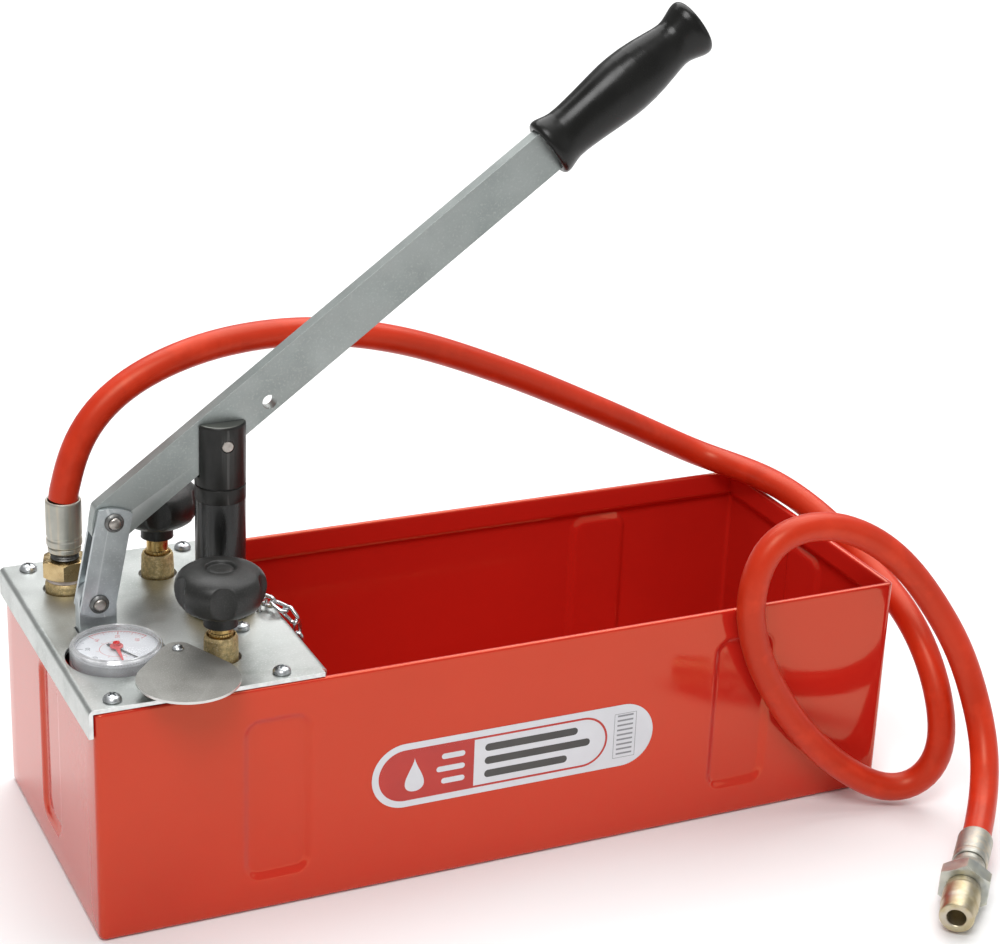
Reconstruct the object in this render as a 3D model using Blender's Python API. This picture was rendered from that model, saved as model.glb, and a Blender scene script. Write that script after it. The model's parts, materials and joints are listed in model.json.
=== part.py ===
"""A hydraulic hand pump for pressure tests: a red water tank, a pump head with a lever, and a hose.

Metres, +Z up. X runs along the tank with the pump head at -X, the front wall faces -Y, and the origin
is the centre of the tank's underside. Sizes are given in millimetres through mm().
"""

import math

import bmesh
import bpy
from mathutils import Matrix, Vector


def mm(*values):
    """Millimetres as metres: one number, or a tuple of them."""
    metres = tuple(value * 0.001 for value in values)
    return metres[0] if len(metres) == 1 else metres


# Driving dimensions
GAP = mm(0.3)  # between pieces that touch
TANK_LENGTH = mm(480)
TANK_WIDTH = mm(190)
TANK_HEIGHT = mm(134)
TANK_SHEET = mm(1.2)
TANK_CORNER = mm(4)
HEM_TURN = mm(3.8)  # how far the rim is turned inwards
HEM_DROP = mm(15)  # and then folded down
PAD_WIDTH = mm(40)  # panels pressed into the walls
PAD_LOW = mm(20)
PAD_HIGH = mm(116)
PAD_DEPTH = mm(2.5)
PAD_X = mm(141.5)

PLATE_SHEET = mm(2.5)
PLATE_TOP = TANK_HEIGHT + GAP + PLATE_SHEET
PLATE_BEND = mm(3)
PLATE_LEFT = -TANK_LENGTH / 2 - GAP - PLATE_SHEET
PLATE_RIGHT = mm(-112)
FLANGE_LOW = mm(120.5)
CORNER_SCREWS = [mm(x, y) for x in (-228, -136.5) for y in (-86, 86)]
PLATE_SCREWS = [*CORNER_SCREWS, *(mm(-139.5, y) for y in (-28.3, 28.3))]

PLUNGER_X = mm(-141.5)
PLUNGER_RADIUS = mm(14)
BARREL_RADIUS = mm(16.7)
VALVE_X = mm(-160.4)
VALVE_Y = mm(57.2)
BONNET_TOP = mm(150.5)
WOUND_OUT = {"shutoff": mm(4.6), "relief": mm(8.7)}  # how far each spindle stands out
OUTLET = Vector(mm(-214.5, 55, 0))
GAUGE = Vector(mm(-211.3, -36.1, 0))
COVER_PIVOT = Vector(mm(-184.6, -58.8, 0))
COVER_LOW = mm(144.8)

FULCRUM = Vector(mm(-212.2, 0, 153.5))
LINK_TOP = Vector(mm(-203.0, 0, 199.7))
PLUNGER_PIN = Vector(mm(-141.5, 0, 237.6))
LEVER_ANGLE = math.radians(36.4)
LEVER_HEIGHT = mm(25)
LEVER_THICK = mm(8)
LINK_THICK = mm(2.5)
LINK_WIDTH = mm(19)
PIN_RADIUS = mm(3.5)
CROSS_PIN_RADIUS = mm(3.25)
HOOK_HOLE = Vector(mm(105, -6.4, 0))  # along and across the lever, from LINK_TOP
GRIP_START = mm(310)

HOSE_DIAMETER = mm(16.5)
HOSE_STEP = 2 * HOSE_DIAMETER
HOSE_START = mm(190.3)
FAR_TIP = Vector(mm(189.5, -254.0, 11.2))
FAR_AZIMUTH = math.radians(47.6)
FAR_RISE = math.radians(6.2)
FAR_LENGTH = mm(71)

CHAIN_EYE = Vector(mm(-119.9, -8.5, 142.5))  # the middle of the eye's bar
CHAIN_TURN = math.radians(-50)  # from +X towards -Y, the way the chain leaves the eye
EYE_REACH = mm(4.0)
WIRE_RADIUS = mm(1.1)
LINK_REACH = mm(5.2)  # from a chain link's middle to the middle of the wire at its end
LINK_SIDE = mm(3.0)
CHAIN_LEANS = (-85, -72, -48, 0, 0, 0, 0)  # each link's lean from straight down

ROUTE = [  # of the hose, from the outlet to where it lines up with its free end's fitting
    mm(-214.5, 55, 190.6),
    mm(-212.9, 55, 200),
    mm(-208.9, 55, 214.9),
    mm(-202.6, 55.5, 228.6),
    mm(-189.9, 56.7, 243.4),
    mm(-173, 58.7, 254.4),
    mm(-152.6, 61.2, 262.2),
    mm(-128.2, 64.2, 267.7),
    mm(-97.2, 68, 269.8),
    mm(-58.3, 73, 266.8),
    mm(-4.6, 79, 253.7),
    mm(64.4, 86, 225),
    mm(138.7, 94, 187.5),
    mm(186, 99, 162),
    mm(216, 97.5, 146.5),
    mm(233.5, 73, 143.4),
    mm(241.8, 36, 143.4),
    mm(254.5, 6, 132.5),
    mm(261, -40, 117),
    mm(263, -88, 98.5),
    mm(263.5, -118, 68),
    mm(261.5, -129, 34),
    mm(250, -122.5, 11.5),
    mm(232, -117, 10.2),
    mm(212, -112, 21.5),
    mm(192, -107, 38),
    mm(171.5, -104.4, 61.5),
    mm(150.9, -104, 94),
    mm(138.5, -104, 125),
    mm(136.8, -104, 150),
    mm(149, -102.5, 177),
    mm(180.5, -103, 183),
    mm(212, -106.5, 171.5),
    mm(234, -112, 153.5),
    mm(251.4, -118, 130.3),
    mm(267.5, -126, 102),
    mm(275.5, -136, 74),
    mm(275, -152, 48),
    mm(264.5, -170, 29.5),
]


# Building blocks
def clear_scene():
    for old in list(bpy.data.objects):
        bpy.data.objects.remove(old)


def material(name, colour, roughness, metallic=0.0, alpha=1.0):
    made = bpy.data.materials.new(name)
    made.use_nodes = True
    shader = made.node_tree.nodes["Principled BSDF"]
    shader.inputs["Base Color"].default_value = (*colour, 1.0)
    shader.inputs["Roughness"].default_value = roughness
    shader.inputs["Metallic"].default_value = metallic
    shader.inputs["Alpha"].default_value = alpha
    return made


def empty(name, location, rotation=(0, 0, 0), parent=None):
    """A joint's axis, which the pieces that turn or slide on it are parented to."""
    made = bpy.data.objects.new(name, None)
    made.location = location
    made.rotation_euler = rotation
    made.parent = parent
    bpy.context.scene.collection.objects.link(made)
    return made


def piece(name, bm, look, location=(0, 0, 0), rotation=(0, 0, 0), parent=None):
    """The bmesh as a named object, smooth except at its sharp edges."""
    bmesh.ops.recalc_face_normals(bm, faces=bm.faces)
    mesh = bpy.data.meshes.new(name)
    bm.to_mesh(mesh)
    bm.free()
    mesh.shade_smooth()
    mesh.set_sharp_from_angle(angle=math.radians(35))
    made = bpy.data.objects.new(name, mesh)
    if look:
        mesh.materials.append(look)
    made.location = location
    made.rotation_euler = rotation
    made.parent = parent
    bpy.context.scene.collection.objects.link(made)
    return made


def helper(name, bm, location=(0, 0, 0), rotation=(0, 0, 0), parent=None):
    """A shape that a Boolean takes away from, or joins to, another piece."""
    made = piece(name, bm, None, location, rotation, parent)
    made.hide_render = True
    made.display_type = "WIRE"
    return made


def boolean(target, operation, other):
    modifier = target.modifiers.new(operation.title(), "BOOLEAN")
    modifier.operation = operation
    modifier.solver = "EXACT"
    modifier.object = other


def lathe(profile, sides=32, radius_at=None):
    """Turns (radius, height) points about Z. A profile that doesn't start on the axis is a closed ring.

    radius_at(radius, angle) may change the radius round the turn.
    """
    bm = bmesh.new()
    rings = []
    for radius, height in profile:
        if radius == 0:
            rings.append([bm.verts.new((0, 0, height))] * sides)
            continue
        ring = []
        for side in range(sides):
            angle = math.tau * side / sides
            here = radius_at(radius, angle) if radius_at else radius
            ring.append(bm.verts.new((here * math.cos(angle), here * math.sin(angle), height)))
        rings.append(ring)
    pairs = list(zip(rings, rings[1:]))
    if profile[0][0] > 0:
        pairs.append((rings[-1], rings[0]))
    for low, high in pairs:
        for side in range(sides):
            after = (side + 1) % sides
            corners = [low[side], low[after], high[after], high[side]]
            bm.faces.new(list(dict.fromkeys(corners)))
    return bm


def prism(outline, low, high, holes=()):
    """An outline in X and Y with holes through it, from one height to another."""
    bm = bmesh.new()
    caps = ([], [])
    for loop in (outline, *holes):
        rows = [[bm.verts.new((x, y, z)) for x, y in loop] for z in (low, high)]
        for index in range(len(loop)):
            before = index - 1
            bm.faces.new((rows[0][before], rows[0][index], rows[1][index], rows[1][before]))
            for row, edges in zip(rows, caps):
                edges.append(bm.edges.get((row[before], row[index])))
    for edges in caps:
        bmesh.ops.triangle_fill(bm, edges=edges, use_beauty=True)
    return bm


def box(low, high):
    (x0, y0, z0), (x1, y1, z1) = low, high
    return prism([(x0, y0), (x1, y0), (x1, y1), (x0, y1)], z0, z1)


def circle(radius, centre=(0, 0), sides=24):
    turns = (math.tau * side / sides for side in range(sides))
    return [(centre[0] + radius * math.cos(turn), centre[1] + radius * math.sin(turn)) for turn in turns]


def rounded(x0, y0, x1, y1, radius, steps=3):
    """A rectangle's outline with round corners, anticlockwise from its lower right corner."""
    near_x, far_x, near_y, far_y = x0 + radius, x1 - radius, y0 + radius, y1 - radius
    corners = ((far_x, near_y), (far_x, far_y), (near_x, far_y), (near_x, near_y))
    points = []
    for quarter, (x, y) in enumerate(corners):
        for step in range(steps + 1):
            angle = math.pi / 2 * (quarter - 1 + step / steps)
            points.append((x + radius * math.cos(angle), y + radius * math.sin(angle)))
    return points


def oval_slot(length, width, centre=(0, 0), steps=6):
    """The outline of a slot with round ends, long in X."""
    reach = (length - width) / 2
    points = []
    for end, start in ((1, -math.pi / 2), (-1, math.pi / 2)):
        for step in range(steps + 1):
            angle = start + math.pi * step / steps
            x = centre[0] + end * reach + width / 2 * math.cos(angle)
            points.append((x, centre[1] + width / 2 * math.sin(angle)))
    return points


def hexagon(across_flats, turn=0.0):
    radius = across_flats / math.sqrt(3)
    angles = (math.radians(60 * corner) + turn for corner in range(6))
    return [(radius * math.cos(angle), radius * math.sin(angle)) for angle in angles]


def smooth_route(points, step):
    """Points an even step apart on one smooth curve through the given points."""
    knots = [Vector(point) for point in points]
    knots = [2 * knots[0] - knots[1], *knots, 2 * knots[-1] - knots[-2]]
    fine = []
    for index in range(1, len(knots) - 2):
        before, start, end, after = knots[index - 1 : index + 3]
        spans = [math.sqrt((b - a).length) for a, b in ((before, start), (start, end), (end, after))]
        leave = (start - before) / spans[0] - (end - before) / (spans[0] + spans[1]) + (end - start) / spans[1]
        arrive = (end - start) / spans[1] - (after - start) / (spans[1] + spans[2]) + (after - end) / spans[2]
        leave, arrive = leave * spans[1], arrive * spans[1]
        for part in range(16):
            t = part / 16
            fine.append(
                start * (2 * t**3 - 3 * t**2 + 1)
                + leave * (t**3 - 2 * t**2 + t)
                + end * (3 * t**2 - 2 * t**3)
                + arrive * (t**3 - t**2)
            )
    fine.append(knots[-2])
    lengths = [0.0]
    for a, b in zip(fine, fine[1:]):
        lengths.append(lengths[-1] + (b - a).length)
    count = round(lengths[-1] / step)
    even = []
    reached = 0
    for index in range(count + 1):
        wanted = lengths[-1] * index / count
        while reached < len(fine) - 2 and lengths[reached + 1] < wanted:
            reached += 1
        share = (wanted - lengths[reached]) / (lengths[reached + 1] - lengths[reached])
        even.append(fine[reached].lerp(fine[reached + 1], share))
    return even


def tube(name, points, diameter, look):
    curve = bpy.data.curves.new(name, "CURVE")
    curve.dimensions = "3D"
    curve.bevel_depth = diameter / 2
    curve.bevel_resolution = 3
    curve.use_fill_caps = True
    spline = curve.splines.new("POLY")
    spline.points.add(len(points) - 1)
    for slot, point in zip(spline.points, points):
        slot.co = (*point, 1)
    curve.materials.append(look)
    made = bpy.data.objects.new(name, curve)
    bpy.context.scene.collection.objects.link(made)
    return made


# The tank
def pressed_wall(bm, corners, pads):
    """Fills one flat wall between its four corners, with a rounded panel pressed in round each pad.

    A pad is its middle along the wall's lower edge, measured from that edge's middle.
    """
    origin = (corners[0].co + corners[1].co) / 2
    along = (corners[1].co - corners[0].co).normalized()
    inwards = Vector((0, 0, 1)).cross(along)
    sides = [(corners[index - 1], corners[index]) for index in range(4)]
    edges = [bm.edges.get(side) or bm.edges.new(side) for side in sides]
    for middle in pads:
        rings = []
        for inset, depth, radius in ((0, 0, mm(12)), (mm(3.5), PAD_DEPTH, mm(8.5))):
            reach = PAD_WIDTH / 2 - inset
            outline = rounded(middle - reach, PAD_LOW + inset, middle + reach, PAD_HIGH - inset, radius)
            base = Vector((origin.x, origin.y, 0)) + inwards * depth
            rings.append([bm.verts.new(base + along * a + Vector((0, 0, z))) for a, z in outline])
        for index in range(len(rings[0])):
            outer, inner = rings
            bm.faces.new((outer[index - 1], outer[index], inner[index], inner[index - 1]))
            edges.append(bm.edges.get((outer[index - 1], outer[index])))
        bm.faces.new(rings[1])
    bmesh.ops.triangle_fill(bm, edges=edges, use_beauty=True)


def tank_ring(bm, inset, height):
    x, y = TANK_LENGTH / 2 - inset, TANK_WIDTH / 2 - inset
    radius = max(TANK_CORNER - inset, mm(1))
    return [bm.verts.new((*point, height)) for point in rounded(-x, -y, x, y, radius)]


def tank_body(look):
    bm = bmesh.new()
    levels = (
        (mm(2), 0),
        (mm(0.6), mm(0.6)),
        (0, mm(2)),
        (0, TANK_HEIGHT - mm(0.5)),
        (mm(0.5), TANK_HEIGHT),
        (HEM_TURN - mm(0.5), TANK_HEIGHT),
        (HEM_TURN, TANK_HEIGHT - mm(0.5)),
        (HEM_TURN, TANK_HEIGHT - HEM_DROP),
    )
    rings = [tank_ring(bm, inset, height) for inset, height in levels]
    bm.faces.new(list(reversed(rings[0])))
    flat_sides = {4: (0,), 8: (PAD_X, -PAD_X), 12: (0,), 0: (-PAD_X, PAD_X)}
    for level, (low, high) in enumerate(zip(rings, rings[1:])):
        for index in range(len(low)):
            corners = (low[index - 1], low[index], high[index], high[index - 1])
            if level == 2 and index in flat_sides:
                pressed_wall(bm, corners, flat_sides[index])
            else:
                bm.faces.new(corners)
    tank = piece("tank_body", bm, look)
    sheet = tank.modifiers.new("Sheet", "SOLIDIFY")
    sheet.thickness = TANK_SHEET
    sheet.offset = -1
    sheet.use_even_offset = True
    for number, (x, y) in enumerate(CORNER_SCREWS):
        boolean(tank, "UNION", screw_tab(f"screw_tab_{number}", x, y))


def screw_tab(name, x, y):
    """A small tab welded inside the hem, which a corner screw of the top plate holds in."""
    side = math.copysign(1, y)
    reach = mm(9)
    near, far = sorted((side * mm(79), side * (TANK_WIDTH / 2 - HEM_TURN + mm(0.6))))
    outline = [(x - reach, near), (x + reach, near), (x + reach, far), (x - reach, far)]
    bm = prism(outline, TANK_HEIGHT - mm(4.5), TANK_HEIGHT - mm(2.5), [circle(mm(2.9), (x, y), 12)])
    return helper(name, bm)


# The top plate
def top_plate(look):
    """One sheet with a flange over the tank's end wall and a shorter one inside the tank."""
    bm = bmesh.new()
    left, right = PLATE_LEFT + PLATE_BEND, PLATE_RIGHT - PLATE_BEND
    back, notch = TANK_WIDTH / 2, mm(88.5)
    outline = [(left, -back), (right, -back), (right, -notch), (right, notch), (right, back), (left, back)]
    holes = [
        circle(mm(27.2), GAUGE.xy, 24),
        circle(mm(17.2), (PLUNGER_X, 0), 24),
        circle(mm(12.6), OUTLET.xy, 20),
        *(circle(mm(10.8), (VALVE_X, side * VALVE_Y), 20) for side in (-1, 1)),
        rounded(*mm(-223.6, -4.6, -200.8, 4.6), mm(1)),
        *(circle(mm(3), place, 8) for place in PLATE_SCREWS),
        *(circle(mm(1.6), foot.xy, 8) for foot in eye_feet()),
        circle(mm(2.4), COVER_PIVOT.xy, 8),
    ]
    edges = []
    for loop in (outline, *holes):
        row = [bm.verts.new((x, y, PLATE_TOP)) for x, y in loop]
        edges += [bm.edges.new((row[index - 1], row[index])) for index in range(len(row))]
        if loop is outline:
            rim = row
    bmesh.ops.triangle_fill(bm, edges=edges, use_beauty=True)
    fold_down(bm, (rim[5], rim[0]), -1, FLANGE_LOW)
    fold_down(bm, (rim[2], rim[3]), 1, TANK_HEIGHT - mm(12))
    plate = piece("top_plate", bm, look)
    sheet = plate.modifiers.new("Sheet", "SOLIDIFY")
    sheet.thickness = PLATE_SHEET
    sheet.offset = -1
    sheet.use_even_offset = True


def eye_feet():
    """Where the two legs of the chain's eye go through the plate."""
    across = Vector((-math.sin(CHAIN_TURN), math.cos(CHAIN_TURN), 0))
    return [CHAIN_EYE + across * side * EYE_REACH for side in (-1, 1)]


def fold_down(bm, edge, side, low):
    """Bends a flange down from an edge of the plate, towards -X or +X."""
    row = edge
    steps = 4
    centre_x = edge[0].co.x
    heights = []
    for step in range(1, steps + 1):
        angle = math.pi / 2 * step / steps
        x = centre_x + side * PLATE_BEND * math.sin(angle)
        heights.append((x, PLATE_TOP - PLATE_BEND * (1 - math.cos(angle))))
    heights.append((centre_x + side * PLATE_BEND, low))
    for x, z in heights:
        after = [bm.verts.new((x, vertex.co.y, z)) for vertex in row]
        bm.faces.new((row[0], row[1], after[1], after[0]))
        row = after


def screws(look):
    """Pan-head screws with a cross recess, through the plate."""
    head = [(0, mm(3.6)), (mm(2.6), mm(3.3)), (mm(4.4), mm(2.2)), (mm(5), 0)]
    shank = [(mm(2.5), 0), (mm(2.5), mm(-8)), (0, mm(-8))]
    for number, (x, y) in enumerate(PLATE_SCREWS, 1):
        place = (x, y, PLATE_TOP + GAP)
        screw = piece(f"plate_screw_{number}", lathe([*head, *shank], 12), look, place)
        slots = prism(cross_outline(mm(2.6), mm(0.6)), mm(1.8), mm(4))
        boolean(screw, "DIFFERENCE", helper(f"recess_{number}", slots, place, (0, 0, number)))


def cross_outline(reach, half):
    quarter = [(reach, -half), (reach, half), (half, half)]
    points = []
    for turn in range(4):
        cosine, sine = round(math.cos(turn * math.pi / 2)), round(math.sin(turn * math.pi / 2))
        points += [(x * cosine - y * sine, x * sine + y * cosine) for x, y in quarter]
    return points


# The pump under the plate
def pump_manifold(look):
    """The casting under the plate: a flat base with a raised boss for every fitting."""
    base_low, base_high, boss_high = mm(98), mm(113), TANK_HEIGHT
    corners = (
        (-232, -52), (-190, -52), (-190, -20), (-172, -20), (-172, -69), (-149, -69), (-149, -34), (-120, -34),
        (-120, 34), (-149, 34), (-149, 69), (-172, 69), (-172, 20), (-198, 20), (-198, 69), (-231, 69),
        (-231, 20), (-232, 20),
    )
    outline = [mm(*corner) for corner in corners]
    bore = circle(BARREL_RADIUS + GAP, (PLUNGER_X, 0), 24)
    base = piece("pump_manifold", prism(outline, base_low, base_high, [bore]), look)
    bosses = {
        "barrel": (PLUNGER_X, 0, mm(20.5), BARREL_RADIUS + GAP),
        "shutoff": (VALVE_X, -VALVE_Y, mm(11.5), mm(8.3)),
        "relief": (VALVE_X, VALVE_Y, mm(11.5), mm(8.3)),
        "outlet": (OUTLET.x, OUTLET.y, mm(14), mm(9.3)),
    }
    for name, (x, y, outer, inner) in bosses.items():
        sides = 24 if name == "barrel" else 16
        bm = prism(circle(outer, (x, y), sides), base_low + mm(4), boss_high, [circle(inner, (x, y), sides)])
        boolean(base, "UNION", helper(f"{name}_casting", bm))
        if name != "barrel":
            bore = prism(circle(inner, (x, y), sides), base_low + mm(9), boss_high)
            boolean(base, "DIFFERENCE", helper(f"{name}_bore", bore))
    bore = prism(circle(mm(6.3), GAUGE.xy, 16), base_low + mm(6.5), boss_high)
    boolean(base, "DIFFERENCE", helper("gauge_bore", bore))
    for side in (-1, 1):
        middle = (PLATE_SCREWS[4][0], side * abs(PLATE_SCREWS[4][1]))
        bm = prism(circle(mm(6.5), middle, 12), base_low + mm(4), boss_high - mm(0.1))
        boolean(base, "UNION", helper(f"screw_boss_{side}", bm))
        hole = prism(circle(mm(3), middle, 8), boss_high - mm(12), boss_high + mm(1))
        boolean(base, "DIFFERENCE", helper(f"screw_hole_{side}", hole))
    foot = box(mm(-225, -8, 102), (mm(-199), mm(8), boss_high - mm(0.1)))
    boolean(base, "UNION", helper("fulcrum_foot", foot))


def pump_barrel(look):
    inner, low, high = PLUNGER_RADIUS + GAP, mm(46), mm(128)
    floor = low + mm(4)
    profile = [
        (mm(4), low), (BARREL_RADIUS, low), (BARREL_RADIUS, high), (inner, high), (inner, floor), (mm(4), floor),
    ]
    piece("pump_barrel", lathe(profile, 24), look, (PLUNGER_X, 0, 0))


def gland_seal(look):
    inner, low, high = PLUNGER_RADIUS + GAP, mm(128) + GAP, mm(133.2)
    profile = [(inner, low), (BARREL_RADIUS, low), (BARREL_RADIUS, high), (inner, high)]
    piece("gland_seal", lathe(profile, 24), look, (PLUNGER_X, 0, 0))


def gland_nut(look):
    inner, seat = PLUNGER_RADIUS + GAP, PLATE_TOP + GAP
    profile = [
        (inner, mm(133.5)), (BARREL_RADIUS, mm(133.5)), (BARREL_RADIUS, seat), (mm(18), seat),
        (mm(19), seat + mm(1)), (mm(19), mm(147)), (mm(18.2), mm(148.4)), (inner + mm(0.8), mm(148.4)),
        (inner, mm(147.6)),
    ]
    piece("gland_nut", lathe(profile, 24), look, (PLUNGER_X, 0, 0))


def suction_valve(looks):
    """The inlet under the barrel: a valve body, its ball, and a strainer cup near the tank's floor."""
    x = PLUNGER_X
    low, high = mm(24), mm(46) - GAP
    seat = low + mm(3)
    body = [
        (mm(3), low), (mm(12), low), (mm(13), low + mm(1)), (mm(13), mm(33)), (mm(15), mm(34)), (mm(15), high),
        (mm(6), high), (mm(6), seat), (mm(3), seat),
    ]
    piece("suction_valve_body", lathe(body, 20), looks["brass"], (x, 0, 0))
    rest = empty("suction_ball_axis", (x, 0, mm(30.75)))
    radius = mm(4.5)
    angles = [math.pi * step / 8 for step in range(1, 8)]
    arc = [(radius * math.sin(angle), radius * math.cos(angle)) for angle in angles]
    piece("suction_ball", lathe([(0, radius), *arc, (0, -radius)], 14), looks["steel"], parent=rest)
    rim = low - GAP
    cup = [
        (0, mm(4)), (mm(12), mm(4)), (mm(13), mm(5)), (mm(13), rim), (mm(11.8), rim), (mm(11.8), mm(5.4)),
        (0, mm(5.4)),
    ]
    piece("suction_strainer", lathe(cup, 20), looks["steel"], (x, 0, 0))


# The plunger, which the lever lifts
def plunger(looks):
    axis = empty("plunger_axis", PLUNGER_PIN)
    top, foot = mm(11), mm(-134)
    groove = mm(-21.5)
    wide = PLUNGER_RADIUS
    profile = [
        (0, top), (wide - mm(1), top), (wide, top - mm(1)), (wide, groove + mm(0.6)), (wide - mm(0.6), groove),
        (wide, groove - mm(0.6)), (wide, foot + mm(1)), (wide - mm(1), foot), (0, foot),
    ]
    rod = piece("plunger", lathe(profile, 24), looks["black_steel"], parent=axis)
    half = LEVER_THICK / 2 + mm(0.6)
    slot = box((mm(-20), -half, mm(-19.5)), (mm(20), half, mm(20)))
    boolean(rod, "DIFFERENCE", helper("plunger_slot", slot, parent=axis))
    bore = prism(circle(CROSS_PIN_RADIUS + GAP, sides=16), mm(-20), mm(20))
    boolean(rod, "DIFFERENCE", helper("cross_bore", bore, rotation=(math.pi / 2, 0, 0), parent=axis))
    reach = mm(13.7)
    pin = [(0, -reach), (CROSS_PIN_RADIUS, -reach), (CROSS_PIN_RADIUS, reach), (0, reach)]
    piece("plunger_pin", lathe(pin, 16), looks["pin_steel"], rotation=(math.pi / 2, 0, 0), parent=axis)


# The swinging link and its fulcrum
def fulcrum_bracket(look):
    low = TANK_HEIGHT + GAP - FULCRUM.z
    radius = mm(10.5)
    angles = [math.pi * step / 8 for step in range(9)]
    arc = [(radius * math.cos(angle), radius * math.sin(angle)) for angle in angles]
    outline = [(radius, low), *arc, (-radius, low)]
    half = LEVER_THICK / 2
    bm = prism(outline, -half, half, [circle(PIN_RADIUS + GAP, sides=16)])
    piece("fulcrum_bracket", bm, look, FULCRUM, (math.pi / 2, 0, 0))


def link_outline():
    """A plate along local Y with shallow round ends, from the fulcrum pin at the origin to the top pin."""
    span = (LINK_TOP - FULCRUM).length
    half, past, bulge = LINK_WIDTH / 2, mm(6), mm(2)
    shares = (1, 0.5, 0, -0.5, -1)
    end = [(half * share, span + past + bulge * (1 - share**2)) for share in shares]
    foot = [(-x, -(y - span)) for x, y in end]
    return [*end, *foot], span


def stub_pin(reach, radius):
    """A round pin with slightly domed ends, across the linkage."""
    end = [(0, reach + mm(0.9)), (radius - mm(1), reach + mm(0.6)), (radius, reach)]
    other_end = [(x, -y) for x, y in reversed(end)]
    return lathe([*end, *other_end], 16)


def link(looks):
    lean = math.atan2(LINK_TOP.x - FULCRUM.x, LINK_TOP.z - FULCRUM.z)
    axis = empty("link_axis", FULCRUM, (0, lean, 0))
    outline, span = link_outline()
    inner = LEVER_THICK / 2 + mm(0.5)
    holes = [circle(PIN_RADIUS + GAP, (0, y), 16) for y in (0, span)]
    for name, side in (("front", -1), ("rear", 1)):
        low = -side * inner if side < 0 else -inner - LINK_THICK
        bm = prism(outline, low, low + LINK_THICK, holes)
        piece(f"link_plate_{name}", bm, looks["zinc"], rotation=(math.pi / 2, 0, 0), parent=axis)
    washer_seat = inner + LINK_THICK + GAP
    reach = washer_seat + mm(2.2)
    places = {"fulcrum": (0, 0, 0), "link": (0, 0, span)}
    for name, place in places.items():
        turn = (math.pi / 2, 0, 0)
        piece(f"{name}_pin", stub_pin(reach, PIN_RADIUS), looks["pin_steel"], place, turn, axis)
        for end, side in (("front", -1), ("rear", 1)):
            ring = [(mm(3.8), 0), (mm(5.4), 0), (mm(5.2), mm(0.8)), (mm(4.4), mm(1.5)), (mm(3.8), mm(1.5))]
            where = (place[0], side * washer_seat, place[2])
            facing = (-side * math.pi / 2, 0, 0)
            piece(f"{name}_clip_{end}", lathe(ring, 14), looks["spring_steel"], where, facing, axis)


def lever(looks):
    """A flat bar with a hand grip. It turns on the link's top pin, and a slot in it drives the plunger's pin."""
    axis = empty("lever_axis", LINK_TOP, (0, -LEVER_ANGLE, 0))
    half = LEVER_HEIGHT / 2
    outline = [
        mm(-3.5, -12.5), (mm(385), -half), (mm(385), half), mm(-2.5, 12.5), mm(-9, 6.5), mm(-13.8, 0.5),
        mm(-13.5, -5.5), mm(-9.5, -10.5),
    ]
    offset = PLUNGER_PIN - LINK_TOP
    along = offset.x * math.cos(LEVER_ANGLE) + offset.z * math.sin(LEVER_ANGLE)
    across = offset.z * math.cos(LEVER_ANGLE) - offset.x * math.sin(LEVER_ANGLE)
    holes = [
        circle(PIN_RADIUS + GAP, sides=16),
        oval_slot(mm(13.6), mm(9.4), (along - mm(0.4), across + mm(0.6))),
        circle(mm(4), HOOK_HOLE.xy, 16),
    ]
    turn = (math.pi / 2, 0, 0)
    bar_half = LEVER_THICK / 2
    bar = prism(outline, -bar_half, bar_half, holes)
    piece("lever_bar", bar, looks["zinc"], rotation=turn, parent=axis)

    sections = (
        (0, 16.2), (2.5, 17.6), (7, 16.8), (13, 15.3), (22, 15.3), (34, 16.4), (54, 18.1), (68, 17.4),
        (80, 15.5), (90, 13.9), (97, 14.8), (103, 17), (107, 16.8), (110, 11),
    )
    profile = [(mm(radius), mm(height)) for height, radius in sections]
    profile = [(0, 0), *profile, (0, mm(110.4))]
    grip_turn = (0, math.pi / 2, 0)
    start = (GRIP_START, 0, 0)
    grip = piece("lever_grip", lathe(profile, 20, grip_oval), looks["grip"], start, grip_turn, axis)
    clear = half + GAP
    socket = box((mm(-5), -bar_half - GAP, -clear), (mm(76), bar_half + GAP, clear))
    boolean(grip, "DIFFERENCE", helper("grip_socket", socket, start, parent=axis))


def grip_oval(radius, angle):
    """The grip is an oval, narrower across the bar than along its height."""
    flat = 0.80
    return radius * flat / math.hypot(flat * math.cos(angle), math.sin(angle))


# The two valves
def knob_scoop(radius, angle):
    """Five finger scoops round the knob's rim."""
    spread = (angle * 5 / math.tau + 0.5) % 1 - 0.5
    depth = mm(4.2) * max(0.0, 1 - (spread / 0.27) ** 2) * min(1.0, max(0.0, (radius - mm(14)) / mm(8)))
    return radius - depth


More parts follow.
